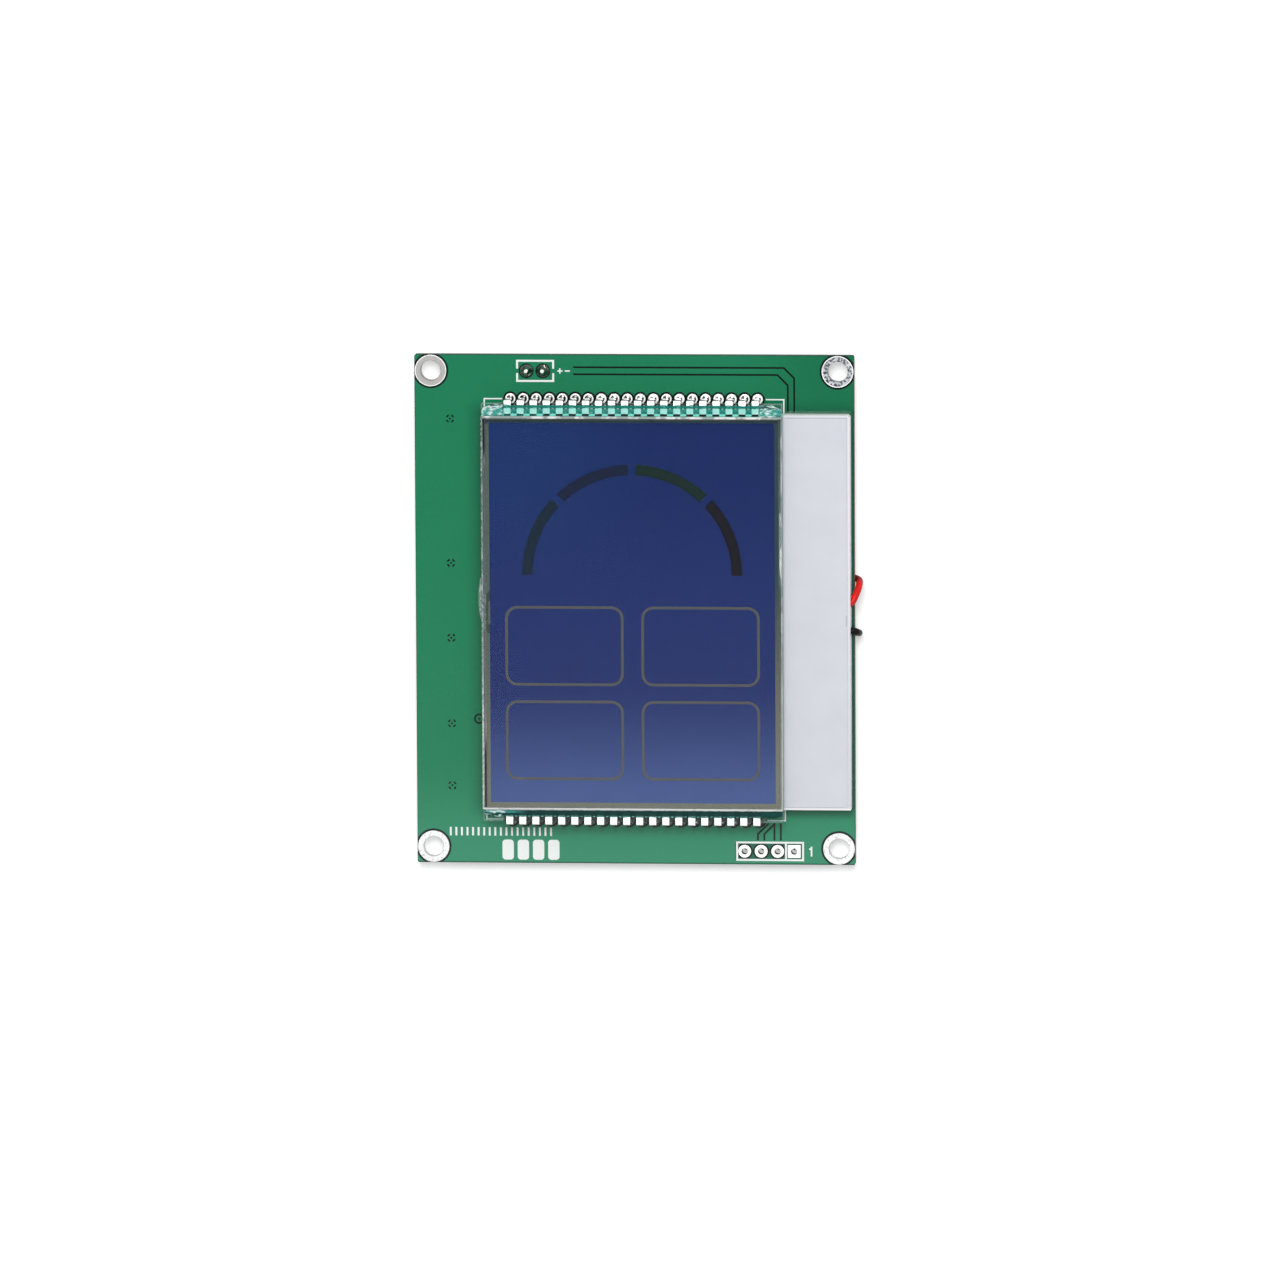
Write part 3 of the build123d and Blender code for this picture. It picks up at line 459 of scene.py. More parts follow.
solder_skin = joint_finish()
bare_copper = metal_finish("tinned_strands", (200, 190, 170), (232, 226, 210), 0.3, 0.01, 0.34)
dress("corner_hole_rings", corner_ring_finish())
for node in ("header_hole_rings", "top_pin_hole_rings"):
    dress(node, pad_tin)
dress("bottom_pin_hole_rings", shaded_pad_tin)
dress("lead_hole_rings", cone_painted_reflection)

# %% [markdown]
# Some solids only need their sharp corners broken, because a real edge always catches a line of light. This
# copies a CAD node, welds its loose triangles, joins the flat ones and puts a small bevel on what is still
# an edge.

# %% Copies with broken edges
def soften(piece, width, steps=2, limit=35):
    """Smooth shading with a small bevel on the edges."""
    for polygon in piece.data.polygons:
        polygon.use_smooth = True
    bevel = piece.modifiers.new("broken_edges", "BEVEL")
    bevel.width = width * mm
    bevel.segments = steps
    bevel.limit_method = "ANGLE"
    bevel.angle_limit = math.radians(limit)
    bevel.harden_normals = True


def eased_copy(name, node, width, material, steps=2, gap=0.0):
    """The gap, in millimetres, keeps a clear piece's flat faces off the faces that it lies on."""
    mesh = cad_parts[node].data.copy()
    mesh.name = name
    work = bmesh.new()
    work.from_mesh(mesh)
    bmesh.ops.remove_doubles(work, verts=work.verts, dist=1e-6)
    bmesh.ops.dissolve_limit(work, angle_limit=math.radians(0.5), verts=work.verts, edges=work.edges)
    levels = [vertex.co.z for vertex in work.verts]
    middle = (min(levels) + max(levels)) / 2
    for vertex in work.verts:
        vertex.co.z -= math.copysign(gap * mm, vertex.co.z - middle) if gap else 0
    work.to_mesh(mesh)
    work.free()
    mesh.normals_split_custom_set([(0, 0, 0)] * len(mesh.loops))
    mesh.materials.clear()
    mesh.materials.append(material)
    piece = linked(name, mesh)
    soften(piece, width, steps)
    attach(piece, "root")
    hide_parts(node)
    print(name, "faces", len(mesh.polygons))


# %% [markdown]
# The pins repeat forty times, so one pin is modelled and Geometry Nodes set the row. A pin is stamped from
# sheet: a strip bent round the edge of the glass, and a leg that narrows to a point. Each copy turns by a
# hair, because a row of real clips is never quite in line.

# %% Geometry Nodes that set a row
def growing_tree(name, sockets):
    """A Geometry Nodes tree that takes these, as its recipe and a wire for each."""
    tree = bpy.data.node_groups.new(name, "GeometryNodeTree")
    for socket, kind in (("Geometry", "Geometry"), *sockets, ("Finish", "Material")):
        tree.interface.new_socket(socket, in_out="INPUT", socket_type="NodeSocket" + kind)
    tree.interface.new_socket("Geometry", in_out="OUTPUT", socket_type="NodeSocketGeometry")
    ways = tree.nodes.new("NodeGroupInput")
    r = Recipe(tree)
    return r, {output.name: Wire(r, output) for output in ways.outputs}


def end_tree(r, copies, finish):
    """Makes the copies real, gives them their finish and leads them out."""
    real = r.node("GeometryNodeRealizeInstances", {}, {0: copies})
    finished = r.node("GeometryNodeSetMaterial", {}, {"Geometry": real, "Material": finish})
    r.tree.links.new(finished.socket, r.tree.nodes.new("NodeGroupOutput").inputs[0])
    return r.tree


def row_tree():
    r, given = growing_tree("row_of_copies", (
        ("Count", "Int"), ("Start", "Vector"), ("Step", "Vector"), ("Turn", "Float"), ("Wobble", "Float"),
        ("Swell", "Float"), ("Seed", "Int"),
    ))
    points = r.node(
        "GeometryNodeMeshLine", {"mode": "OFFSET"},
        {"Count": given["Count"], "Start Location": given["Start"], "Offset": given["Step"]},
    )
    chance = r.node(
        "FunctionNodeRandomValue", {"data_type": "FLOAT"},
        {2: -1.0, 3: 1.0, "Seed": given["Seed"]}, out=1,
    )
    turn = r.node("ShaderNodeCombineXYZ", {}, {"Z": given["Turn"] + chance * given["Wobble"]})
    size = 1 + chance * given["Swell"]
    copies = r.node("GeometryNodeInstanceOnPoints", {}, {
        "Points": points, "Instance": given["Geometry"], "Rotation": turn,
        "Scale": r.node("ShaderNodeCombineXYZ", {}, {"X": size, "Y": size, "Z": size}),
    })
    return end_tree(r, copies, given["Finish"])


row_of_copies = row_tree()


def grown(name, base, tree, settings):
    """Runs a Geometry Nodes tree on a base object and keeps the result as a plain mesh."""
    modifier = base.modifiers.new("grow", "NODES")
    modifier.node_group = tree
    for socket in tree.interface.items_tree:
        if socket.in_out == "INPUT" and socket.name in settings:
            modifier[socket.identifier] = settings[socket.name]
    base.update_tag()
    mesh = settled(base)
    bpy.data.objects.remove(base)
    mesh.name = name
    print(name, "faces", len(mesh.polygons))
    return linked(name, mesh)


# %% One pin
pin_pitch = 2.0
pins_per_row = 20
first_pin_x = -19.0
pin_row_y = 32.5
pin_outer_y = 32.75
pin_thickness = 0.3


def rounded_line(points, radius, steps=6):
    """A flat line whose inner corners are arcs."""
    line = [Vector(points[0])]
    for before, corner, after in zip(points, points[1:], points[2:]):
        before, corner, after = Vector(before), Vector(corner), Vector(after)
        back = (before - corner).normalized()
        on = (after - corner).normalized()
        for i in range(steps + 1):
            share = i / steps
            start, end = corner + back * radius, corner + on * radius
            line.append((1 - share) ** 2 * start + 2 * share * (1 - share) * corner + share**2 * end)
    return line + [Vector(points[-1])]


def prism(outline, direction, name):
    """A closed flat outline, pushed along a direction into a solid."""
    work = bmesh.new()
    face = work.faces.new([work.verts.new(Vector(point) * mm) for point in outline])
    pushed = bmesh.ops.extrude_face_region(work, geom=[face])
    moved = [v for v in pushed["geom"] if isinstance(v, bmesh.types.BMVert)]
    bmesh.ops.translate(work, verts=moved, vec=Vector(direction) * mm)
    bmesh.ops.recalc_face_normals(work, faces=work.faces)
    return linked(name, mesh_from(work, name))


def joined(first, second):
    """Two overlapping solids as one."""
    union = first.modifiers.new("union", "BOOLEAN")
    union.operation = "UNION"
    union.solver = "EXACT"
    union.object = second
    mesh = settled(first)
    first.modifiers.clear()
    first.data = mesh
    bpy.data.objects.remove(second)
    return first


def one_pin():
    middle = pin_outer_y - pin_thickness / 2
    line = rounded_line([(30.68, 6.25), (middle, 6.25), (middle, 4.85), (31.32, 4.85)], 0.22)
    sides = [[], []]
    for i, point in enumerate(line):
        ahead = line[min(i + 1, len(line) - 1)] - line[max(i - 1, 0)]
        across = Vector((-ahead.y, ahead.x)).normalized() * pin_thickness / 2
        sides[0].append(point + across)
        sides[1].append(point - across)
    clip = prism([(-0.525, *p) for p in sides[0] + sides[1][::-1]], (1.05, 0, 0), "clip")
    half = [(0.525, 5.0), (0.525, 4.34), (0.49, 4.2), (0.3, 3.9), (0.25, 3.75), (0.25, -1.64), (0.13, -2.0)]
    outline = [(x, pin_outer_y, z) for x, z in half] + [(-x, pin_outer_y, z) for x, z in half[::-1]]
    leg = prism(outline, (0, -pin_thickness, 0), "leg")
    return joined(clip, leg)


def set_row(name, template, node, turn, y, wobble, swell, seed, material):
    piece = grown(name, template, row_of_copies, {
        "Count": pins_per_row, "Start": Vector((first_pin_x, y, 0)) * mm,
        "Step": Vector((pin_pitch, 0, 0)) * mm,
        "Turn": turn, "Wobble": wobble, "Swell": swell, "Seed": seed, "Finish": material,
    })
    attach(piece, "root")
    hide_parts(node)
    return piece


for name, node, turn, seed in (
    ("top_row_clips", "top_row_pins", 0.0, 3), ("bottom_row_clips", "bottom_row_pins", math.pi, 8),
):
    clips = set_row(name, one_pin(), node, turn, 0, 0.0004, 0.0, seed, pin_tin)
    soften(clips, 0.045, 2, 40)

# %% [markdown]
# Solder climbs each leg as a small concave cone. It is a lathe shape: one outline turned about the hole,
# and set in rows in the same way. The drops differ a little in size.

# %% Solder cones on the pins
def turned(name, profile, steps=28):
    """A closed solid from radius and height pairs, from its top to its bottom on the axis."""
    work = bmesh.new()
    rings = []
    for radius, height in profile:
        if radius == 0:
            rings.append([work.verts.new((0, 0, height * mm))])
            continue
        turns = [2 * math.pi * i / steps for i in range(steps)]
        rings.append([
            work.verts.new((radius * mm * math.cos(a), radius * mm * math.sin(a), height * mm))
            for a in turns
        ])
    for upper, lower in zip(rings, rings[1:]):
        for i in range(steps):
            j = (i + 1) % steps
            if len(upper) == 1:
                work.faces.new((upper[0], lower[i], lower[j]))
            elif len(lower) == 1:
                work.faces.new((upper[i], lower[0], upper[j]))
            else:
                work.faces.new((upper[i], lower[i], lower[j], upper[j]))
    bmesh.ops.recalc_face_normals(work, faces=work.faces)
    for face in work.faces:
        face.smooth = True
    mesh = mesh_from(work, name)
    mesh.set_sharp_from_angle(angle=math.radians(50))
    return linked(name, mesh)


def cone_profile(foot, tip, level, height, hollow=2.2, steps=7):
    """A slope from the tip out to the foot, straight at 1 and more hollow above."""
    slope = []
    for i in range(steps + 1):
        share = i / steps
        slope.append((tip + (foot - tip) * share, level + height * (1 - share) ** hollow))
    return slope


def pin_joint():
    front = cone_profile(0.56, 0.3, board_top + 0.052, 0.04, 1.4)
    back = [(radius, -height) for radius, height in cone_profile(0.73, 0.34, 0.05, 0.92)]
    in_hole = [(0.45, 1.55), (0.45, -0.05)]
    return turned("joint", [(0, front[0][1])] + front + in_hole + back[::-1] + [(0, back[0][1])])


for name, node, y, seed in (
    ("top_row_joints", "top_row_solder", pin_row_y, 5),
    ("bottom_row_joints", "bottom_row_solder", -pin_row_y, 6),
):
    set_row(name, pin_joint(), node, 0.0, y, math.pi, 0.012, seed, solder_skin)

# %% [markdown]
# The leads end at the top left in two taller cones, each with the bright cut end of the wire at its tip and
# a strand or two that missed the hole.

# %% Joints of the leads
lead_holes = [(-16.53, 36.74), (-13.97, 36.74)]


def lead_joints():
    work = bmesh.new()
    for number, (x, y) in enumerate(lead_holes):
        slope = cone_profile(0.94, 0.3, board_top + 0.05, 0.98, 1.25)
        under = [(radius, -height) for radius, height in cone_profile(0.9, 0.34, 0.05, 0.34)]
        top = [(0, 2.74), (0.16, 2.72), (0.27, 2.66), (0.31, 2.58)]
        in_hole = [(0.45, 1.65), (0.45, -0.05)]
        cone = turned("cone", top + slope[1:] + in_hole + under[::-1] + [(0, under[0][1])], 36)
        for vertex in cone.data.vertices:
            height = vertex.co.z / mm - board_top
            lean = max(0, height) * Vector((0.05 - 0.09 * number, 0.03, 0))
            swing = math.atan2(vertex.co.y, vertex.co.x)
            radius = 1 + 0.07 * math.sin(2 * swing + number) + 0.05 * math.sin(3 * swing + 2 * number)
            vertex.co = Vector((vertex.co.x * radius, vertex.co.y * radius, vertex.co.z)) + lean * mm
            vertex.co += Vector((x, y, 0)) * mm
        work.from_mesh(cone.data)
        bpy.data.objects.remove(cone)
    mesh = mesh_from(work, "lead_joints")
    mesh.materials.append(cone_painted_reflection)
    return linked("lead_joints", mesh)


joints = lead_joints()
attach(joints, "root")
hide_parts("lead_solder")


def loose_strand(name, points, diameter):
    wire = soft_wire(name + "_line", points, diameter, 6)
    mesh = settled(wire)
    bpy.data.objects.remove(wire)
    mesh.materials.clear()
    mesh.materials.append(bare_copper)
    strand = linked(name, mesh)
    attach(strand, "root")


for name, points in (
    ("loose_strand_right", [
        (-13.75, 36.55, 2.3), (-13.45, 36.8, 2.1), (-13.45, 37.1, 1.95), (-13.75, 37.35, 1.9),
        (-13.72, 37.7, 1.85),
    ]),
    ("loose_strand_left", [
        (-16.75, 37.0, 2.2), (-16.5, 37.22, 2.1), (-16.1, 37.0, 1.95), (-15.82, 36.72, 1.8),
        (-15.98, 36.3, 1.74), (-16.2, 36.0, 1.72),
    ]),
):
    loose_strand(name, points, 0.16)
dress("lead_conductors", bare_copper)
dress("strip_solder", solder_skin)

# %% [markdown]
# The cell is two panes of glass with a thin blue layer between them. Clear glass is made here as a surface
# that lets light through unbent and throws a little of it back, more at a slant. Faces that touch another
# piece throw nothing back, so the finish asks where it is. The ground edges are white with fine chips, and
# painted silver grey towards the top of the front pane as a painted reflection. Along the row of clips the
# ledge of the rear pane is painted near black: painted shade of the board beneath it.

# %% Glass
film_half_x, film_half_y = 22.675, 29.9
pane_half_y = 30.3
ledge_level = 6.1
pane_top = 7.25


def front_glass_finish():
    f = Finish("front_pane_glass")
    bare = 1 - (abs(f.x) < film_half_x * mm) * (abs(f.y) < film_half_y * mm)
    upper = f.z > (pane_top - 0.3) * mm
    cut = 1 - f.rise(abs(f.facing_up), 0.9, 0.99)
    chips = f.grain(0.5, 3.0)
    ground = cut * (0.5 + 0.5 * chips)
    ends = f.ramp(abs(f.y), film_half_y + 0.02, film_half_y + 0.12) * upper
    smear = ends * f.rise(f.grain(0.9, 3.0, (0.5, 1, 1)), 0.2, 0.42)
    left = f.ramp(f.x * -1, film_half_x + 0.06, film_half_x + 0.16) * upper
    low = f.ramp(f.y * -1, 4, 12)
    frost = (0.75 * ground).most(0.92 * smear).most((0.35 + 0.4 * low) * left * f.rise(chips, 0.36, 0.52))
    cover = frost.most(f.mirror_share() * bare * upper)
    # Painted reflection: the frosted edges and the smear at the ends are silver grey in a wave at the top
    # and white towards the bottom, and the left edge shows more strongly towards the bottom.
    wave = f.rise(f.grain(1.6, 2.0, (1, 0.5, 1)), 0.42, 0.58)
    silver_reflection = f.colours(wave, (158, 172, 168), (244, 246, 244))
    glint = f.colours(f.rise(chips, 0.45, 0.6), (104, 126, 124), (206, 220, 218))
    silver_reflection = f.colours(left, silver_reflection, glint)
    white = f.colours(chips, (224, 230, 228), (254, 254, 252))
    return f.clear((0.93, 0.97, 0.955, 1), cover, {
        "Base Color": f.colours(f.ramp(f.y * -1, -6, 26), silver_reflection, white),
        "Metallic": 1 - f.rise(frost, 0.02, 0.2), "Roughness": 0.12 + 0.35 * frost,
    })


def rear_glass_finish():
    f = Finish("rear_pane_glass")
    bare = abs(f.y) > pane_half_y * mm
    upper = f.z > (ledge_level - 0.2) * mm
    cut = 1 - f.rise(abs(f.facing_up), 0.9, 0.99)
    chips = f.grain(0.5, 3.0)
    frost = 0.6 * cut * (0.5 + 0.5 * chips)
    # Painted shade: along the row of clips the ledge is covered with near black teal, for the shaded board
    # beneath it.
    row = (1 - f.ramp(abs(f.x), 19.8, 20.4)) * bare * upper
    cover = frost.most(f.mirror_share() * bare * upper).most((0.55 + 0.35 * chips) * row)
    frosted = f.colours(chips, (120, 160, 150), (200, 222, 216))
    return f.clear((0.86, 0.96, 0.94, 1), cover, {
        "Base Color": f.colours(row, frosted, f.colours(chips, (2, 14, 13), (10, 46, 42))),
        "Metallic": (1 - f.rise(frost, 0.02, 0.2)) * (1 - row), "Roughness": 0.12 + 0.35 * frost,
    })


eased_copy("front_pane", "front_glass", 0.16, front_glass_finish(), 1, 0.003)
eased_copy("rear_pane", "rear_glass", 0.12, rear_glass_finish(), 1, 0.003)

# %% [markdown]
# The front polarizer is a grey plastic film with a satin face. A dark band is painted along its cut edge,
# wider at the left and strongest there at the top and bottom: painted shade, which draws the thin dark line
# inside the rim of the glass.

# %% Polarizers
def polarizer_finish(name, top_level):
    f = Finish(name)
    edge_x = f.ramp(abs(f.x), film_half_x - 0.14, film_half_x - 0.02)
    edge_y = f.ramp(abs(f.y), film_half_y - 0.14, film_half_y - 0.02)
    left = f.ramp(f.x * -1, film_half_x - 0.34, film_half_x - 0.26)
    left = left * (0.12 + 0.88 * f.ramp(f.y, 22, 25).most(f.ramp(f.y * -1, 14, 22)))
    # Painted shade: the rim and the wider band at the left are dark grey.
    rim = edge_x.most(edge_y).most(left)
    upper = f.z > (top_level - 0.06) * mm
    haze = f.grain(0.12, 2.0)
    cover = (f.mirror_share(0.042) * upper).most(0.8 * rim)
    return f.clear((0.93, 0.93, 0.935, 1), cover, {
        "Base Color": f.colours(rim, (1, 1, 1, 1), f.colours(left, (46, 50, 50), (30, 38, 44))),
        "Metallic": 1 - rim,
        "Roughness": 0.07 + 0.04 * haze,
    })


dress("front_polarizer", polarizer_finish("front_polarizer_film", 7.45))
dress("rear_polarizer", polarizer_finish("rear_polarizer_film", 5.0))

# %% [markdown]
# With the module off, the liquid crystal layer is a deep even blue, slightly greener at its left, and
# painted lighter towards its lower end as a painted reflection. The four arcs of the gauge have their own
# tints, and the windows are fine grey lines.

# %% Liquid crystal and segments
view_half_x, view_half_y = 21.9, 29.25
view_corner = 0.4


def crystal_finish():
    f = Finish("blue_crystal")
    up = f.ramp(f.y, 0, 24)
    # Painted reflection: the blue turns lighter towards the lower end.
    down = f.ramp(f.y * -1, 10, 36)
    left = f.ramp(f.x * -1, -8, 20)
    cloud = f.grain(7.0, 2.0)
    blue = f.colours(up, (49, 65, 138), f.colours(left, (39, 58, 127), (43, 71, 138)))
    blue = f.colours(down, blue, (108, 128, 202))
    blue = f.colours(0.2 * cloud, blue, (46, 60, 136))
    past_x = (abs(f.x) - (view_half_x - view_corner) * mm).most(0)
    past_y = (abs(f.y) - (view_half_y - view_corner) * mm).most(0)
    corner = (past_x**2 + past_y**2) ** 0.5 > view_corner * mm
    blue = f.colours(corner, blue, (92, 98, 96))
    return f.solid({"Base Color": blue, "Roughness": 0.6, "Specular IOR Level": 0.0})


def segment_finish(name, colour, spread=5):
    f = Finish(name)
    cloud = f.grain(1.4, 2.0)
    lighter = [min(255, value + spread) for value in colour]
    return f.solid({
        "Base Color": f.colours(cloud, colour, lighter), "Roughness": 0.5,
        "Specular IOR Level": 0.0,
    })


dress("liquid_crystal_layer", crystal_finish())
for side, colour in (
    ("left", (36, 52, 74)), ("upper_left", (38, 46, 78)),
    ("upper_right", (36, 56, 54)), ("right", (38, 34, 46)),
):
    dress(f"gauge_segment_{side}", segment_finish(f"segment_ink_{side}", colour))
dress("window_outlines", segment_finish("outline_ink", (112, 106, 108), 12))

# %% Seal between the panes
def seal_finish():
    f = Finish("grey_seal")
    speckle = f.grain(0.3, 3.0)
    warm = f.ramp(f.x + f.y * -0.4, -20, 25)
    grey = f.colours(warm, (112, 122, 120), (128, 122, 114))
    # Painted shade and painted reflection: the top and a patch of the right side are a darker blue grey, and
    # the grey turns lighter towards the bottom.
    right = f.ramp(f.x, 21.6, 22) * f.ramp(f.y, -14, 8)
    shaded = f.ramp(f.y, 28.9, 29.3).most(right)
    grey = f.colours(f.ramp(f.y * -1, 5, 28), grey, (166, 158, 144))
    grey = f.colours(0.5 * speckle, grey, (150, 150, 144))
    return f.solid({
        "Base Color": f.colours(shaded, grey, (74, 94, 102)),
        "Roughness": 0.55, "Specular IOR Level": 0.0,
    })


dress("perimeter_seal", seal_finish())

# %% [markdown]
# Clear cyan resin holds the clips on the ledges. It was run on as a bead, so its crest wanders, it dips
# between the clips, and it climbs the edge of the front glass. The bead is built as a net of points along
# the row, each station a small profile that noise pushes about.

# %% Resin beads
def resin_finish():
    """Its colours follow the row, how far out from the front glass and where between two clips; many are
    painted shade and painted highlights.
    """
    f = Finish("clear_cyan_resin")
    steep = 1 - f.rise(abs(f.smooth_up), 0.6, 0.93)
    cloud = f.grain(0.6, 3.0)
    pitches = (f.x - (first_pin_x - pin_pitch / 2) * mm) / (pin_pitch * mm)
    phase = abs(pitches.maths("FRACT", pitches) - 0.5)
    row = 1 - f.ramp(abs(f.x), 19.5, 19.9)
    on_clip = (1 - f.rise(phase, 0.24, 0.29)) * row
    between = (1 - on_clip) * row
    out = (abs(f.y) / mm - pane_half_y) + 0.14 * (cloud - 0.5)
    top = f.y > 0
    bottom = 1 - top
    end = 1 - row
    streak_highlights = end * f.rise(f.grain(0.35, 3.0, (0.35, 1, 1)), 0.46, 0.6)

    def band(low, high, soft=0.06):
        return f.rise(out, low, low + soft) * (1 - f.rise(out, high - soft, high))

    # Painted shade: steep faces of the bead are dark teal.
    skin = f.colours(steep, (120, 214, 204), (4, 104, 92))
    cover = (0.02 + 0.12 * f.rise(cloud, 0.45, 0.7) + 0.6 * steep).most(f.mirror_share())
    # Painted light in this table: the near black between the clips far out and the dark band of the lower
    # bead are painted shade, the light lines between the clips, the bright band next to the glass and the
    # streaks are painted highlights, and the black bars before the prongs are painted shadow.
    for mask, colour, share in (
        (top * between * band(1.1, 1.9), (10, 60, 54), 0.85),
        (top * between * f.rise(phase, 0.4, 0.44) * band(1.0, 1.9), (160, 184, 180), 0.7),
        (top * between * band(0.66, 1.16), (58, 150, 140), 0.8),
        (top * between * band(0.34, 0.72), (0, 122, 108), 0.9),
        (top * between * band(0.02, 0.4), (124, 228, 210), 0.9),
        (top * on_clip * band(0.34, 1.2), (176, 242, 232), 0.65),
        (top * band(1.2, 1.64) * row, (0, 120, 105), 0.95),
        (top * on_clip * band(0.06, 0.4) * f.ramp(f.x, -13.7, -13.2), (6, 12, 12), 0.95),
        (top * end * band(0.1, 2.0), (50, 166, 152), 0.7),
        (top * end * band(1.15, 2.0), (24, 84, 74), 0.8),
        (bottom * band(0.1, 0.96), (8, 58, 56), 0.93),
        (bottom * f.ramp(f.x * -1, 16, 19) * band(0.1, 0.55), (60, 150, 146), 0.93),
        (bottom * on_clip * band(0.96, 1.32), (40, 130, 120), 0.9),
        (bottom * between * f.rise(phase, 0.4, 0.44) * band(0.98, 1.3), (176, 232, 224), 0.9),
        (bottom * (1 - f.rise(out, 0.04, 0.16)) * f.rise(cloud, 0.38, 0.5), (232, 238, 236), 0.95),
        (bottom * end * (f.x > 0) * band(0.1, 2.0), (4, 72, 64), 0.85),
        (streak_highlights * (1 - bottom * (f.x > 0)), (214, 240, 238), 0.9),
    ):
        skin = f.colours(mask, skin, colour)
        cover = cover.most(mask * share)
    return f.clear((0.64, 0.96, 0.93, 1), cover, {
        "Base Color": skin, "Metallic": 0.0, "Roughness": 0.12, "IOR": 1.5, "Specular IOR Level": 0.15,
        "Normal": f.relief(f.grain(0.35, 2.0), 0.03, 0.5),
    })


def resin_bead(name, node, side, reach, material):
    """A wandering bead between the clips' prongs and the front glass, on the ledge at one end."""
    work = bmesh.new()
    rows = []
    end_x = 22.95
    stations = 300
    for i in range(stations + 1):
        x = -end_x + 2 * end_x * i / stations
        to_pin = abs((x - first_pin_x) - pin_pitch * round((x - first_pin_x) / pin_pitch))
        on_pin = 1 - min(1, max(0, (to_pin - 0.45) / 0.35))
        thin = min(1, (end_x - abs(x)) / 1.2) ** 0.5
        wander = noise.noise(Vector((x * 0.9, side * 7, 0)))
        foot = reach * (0.93 + 0.09 * wander + 0.06 * on_pin) * (0.55 + 0.45 * thin)
        crest = 0.1 + (0.42 * thin + 0.1 * on_pin + 0.06 * noise.noise(Vector((x * 1.7, 3, side))))
        crest = max(crest, 0.34 * on_pin)
        climb = 0.25 + 0.18 * noise.noise(Vector((x * 1.3, 9, side)))
        profile = [
            (foot, 0.0), (foot - 0.04, 0.35 * crest), (foot - 0.13, 0.65 * crest),
            (foot - 0.28, 0.88 * crest), (foot - 0.48, crest), (0.5 * foot, 0.98 * crest),
            (0.3 * foot, 0.98 * crest + 0.05 * climb), (0.07 * foot, crest + 0.5 * climb),
            (0.0, crest + climb),
        ]
        line = []
        for out, up in profile:
            point = Vector((x, side * (pane_half_y + 0.003 + out), ledge_level + 0.002 + up))
            line.append(work.verts.new(point * mm))
        line.append(work.verts.new(Vector((x, side * (pane_half_y + 0.003), ledge_level + 0.002)) * mm))
        rows.append(line)
    for one, two in zip(rows, rows[1:]):
        for j in range(len(one)):
            k = (j + 1) % len(one)
            work.faces.new((one[j], one[k], two[k], two[j]))
    work.faces.new(rows[0])
    work.faces.new(rows[-1][::-1])
    bmesh.ops.recalc_face_normals(work, faces=work.faces)
    for face in work.faces:
        face.smooth = True
    mesh = mesh_from(work, name)
    mesh.set_sharp_from_angle(angle=math.radians(60))
    mesh.materials.append(material)
    piece = linked(name, mesh)
    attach(piece, "root")
    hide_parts(node)
    print(name, "faces", len(mesh.polygons))


resin = resin_finish()
resin_bead("top_resin_bead", "top_pin_resin", 1, 1.8, resin)
resin_bead("bottom_resin_bead", "bottom_pin_resin", -1, 1.26, resin)

# %% End seal on the filling port
def glue_finish():
    f = Finish("clear_port_glue")
    cloud = f.grain(0.7, 2.0)
    cover = (0.25 + 0.35 * f.rise(cloud, 0.4, 0.7)).most(f.mirror_share(0.05))
    return f.clear((0.88, 0.96, 0.94, 1), cover, {
        "Base Color": (214, 222, 222), "Metallic": 0.0, "Roughness": 0.12, "IOR": 1.5,
    })


dress("end_seal", glue_finish())

# %% [markdown]
# The backlight is a white moulded tray. Under the glass it holds a clear plate that spreads the light, and
# in the wide strip on the right a row of LEDs under a white film.

# %% Backlight
def plastic_finish(name, dark, light, rough, grain_size=0.3, depth=0.004):
    f = Finish(name)
    cloud = f.grain(6.0, 2.0)
    fine = f.grain(grain_size, 3.0)
    return f.solid({
        "Base Color": f.colours(0.6 * cloud + 0.4 * fine, dark, light),
        "Roughness": rough + 0.1 * (fine - 0.5), "Normal": f.relief(fine, depth, 0.6),
    })


def cover_film_finish():
    f = Finish("white_cover_film")
    cloud = f.grain(5.0, 2.0)
    shade = f.colours(cloud, (208, 211, 220), (220, 223, 229))
    # Painted shade: a thin darker line along a dent in the film.
    dent_shade = (1 - f.ramp(abs(f.x - 32.7 * mm), 0.04, 0.08)) * (abs(f.y + 1.2 * mm) < 0.85 * mm)
    return f.solid({
        "Base Color": f.colours(0.5 * dent_shade, shade, (120, 124, 130)), "Roughness": 0.42,
        "Normal": f.relief(f.grain(3.0, 2.0), 0.02, 0.4),
    })


def tray_finish():
    """The rim's level face is as grey as the film, and its upright faces and lower outer edge are white: lit
    and shaded tones of one plastic, painted.
    """
    f = Finish("tray_white")
    fine = f.grain(0.3, 3.0)
    # Painted light: the upright faces and the lower outer edge are whiter than the level face.
    edge = f.ramp(f.y * -1, 30.06, 30.12)
    white = edge.most(1 - f.rise(f.facing_up, 0.9, 0.98))
    return f.solid({
        "Base Color": f.colours(white, (216, 219, 225), (242, 243, 245)),
        "Roughness": 0.4 + 0.1 * fine,
    })


eased_copy("tray_moulding", "backlight_tray", 0.07, tray_finish())
dress("led_cover_film", cover_film_finish())
for node, name, dark, light, *texture in (
    ("backlight_tapes", "foam_tape", (206, 206, 200), (230, 230, 226), 0.8, 0.2, 0.02),
    ("backlight_reflector", "reflector_white", (238, 240, 240), (250, 250, 250), 0.3),
    ("diffuser_film", "diffuser_white", (228, 232, 234), (242, 244, 246), 0.6),
    ("led_strip_board", "strip_mask", (226, 228, 224), (240, 240, 236), 0.4),
    ("led_bodies", "led_white", (232, 232, 228), (244, 244, 240), 0.45),
    ("led_windows", "led_phosphor", (214, 186, 70), (232, 206, 96), 0.35),
):
    dress(node, plastic_finish(name, dark, light, *texture))


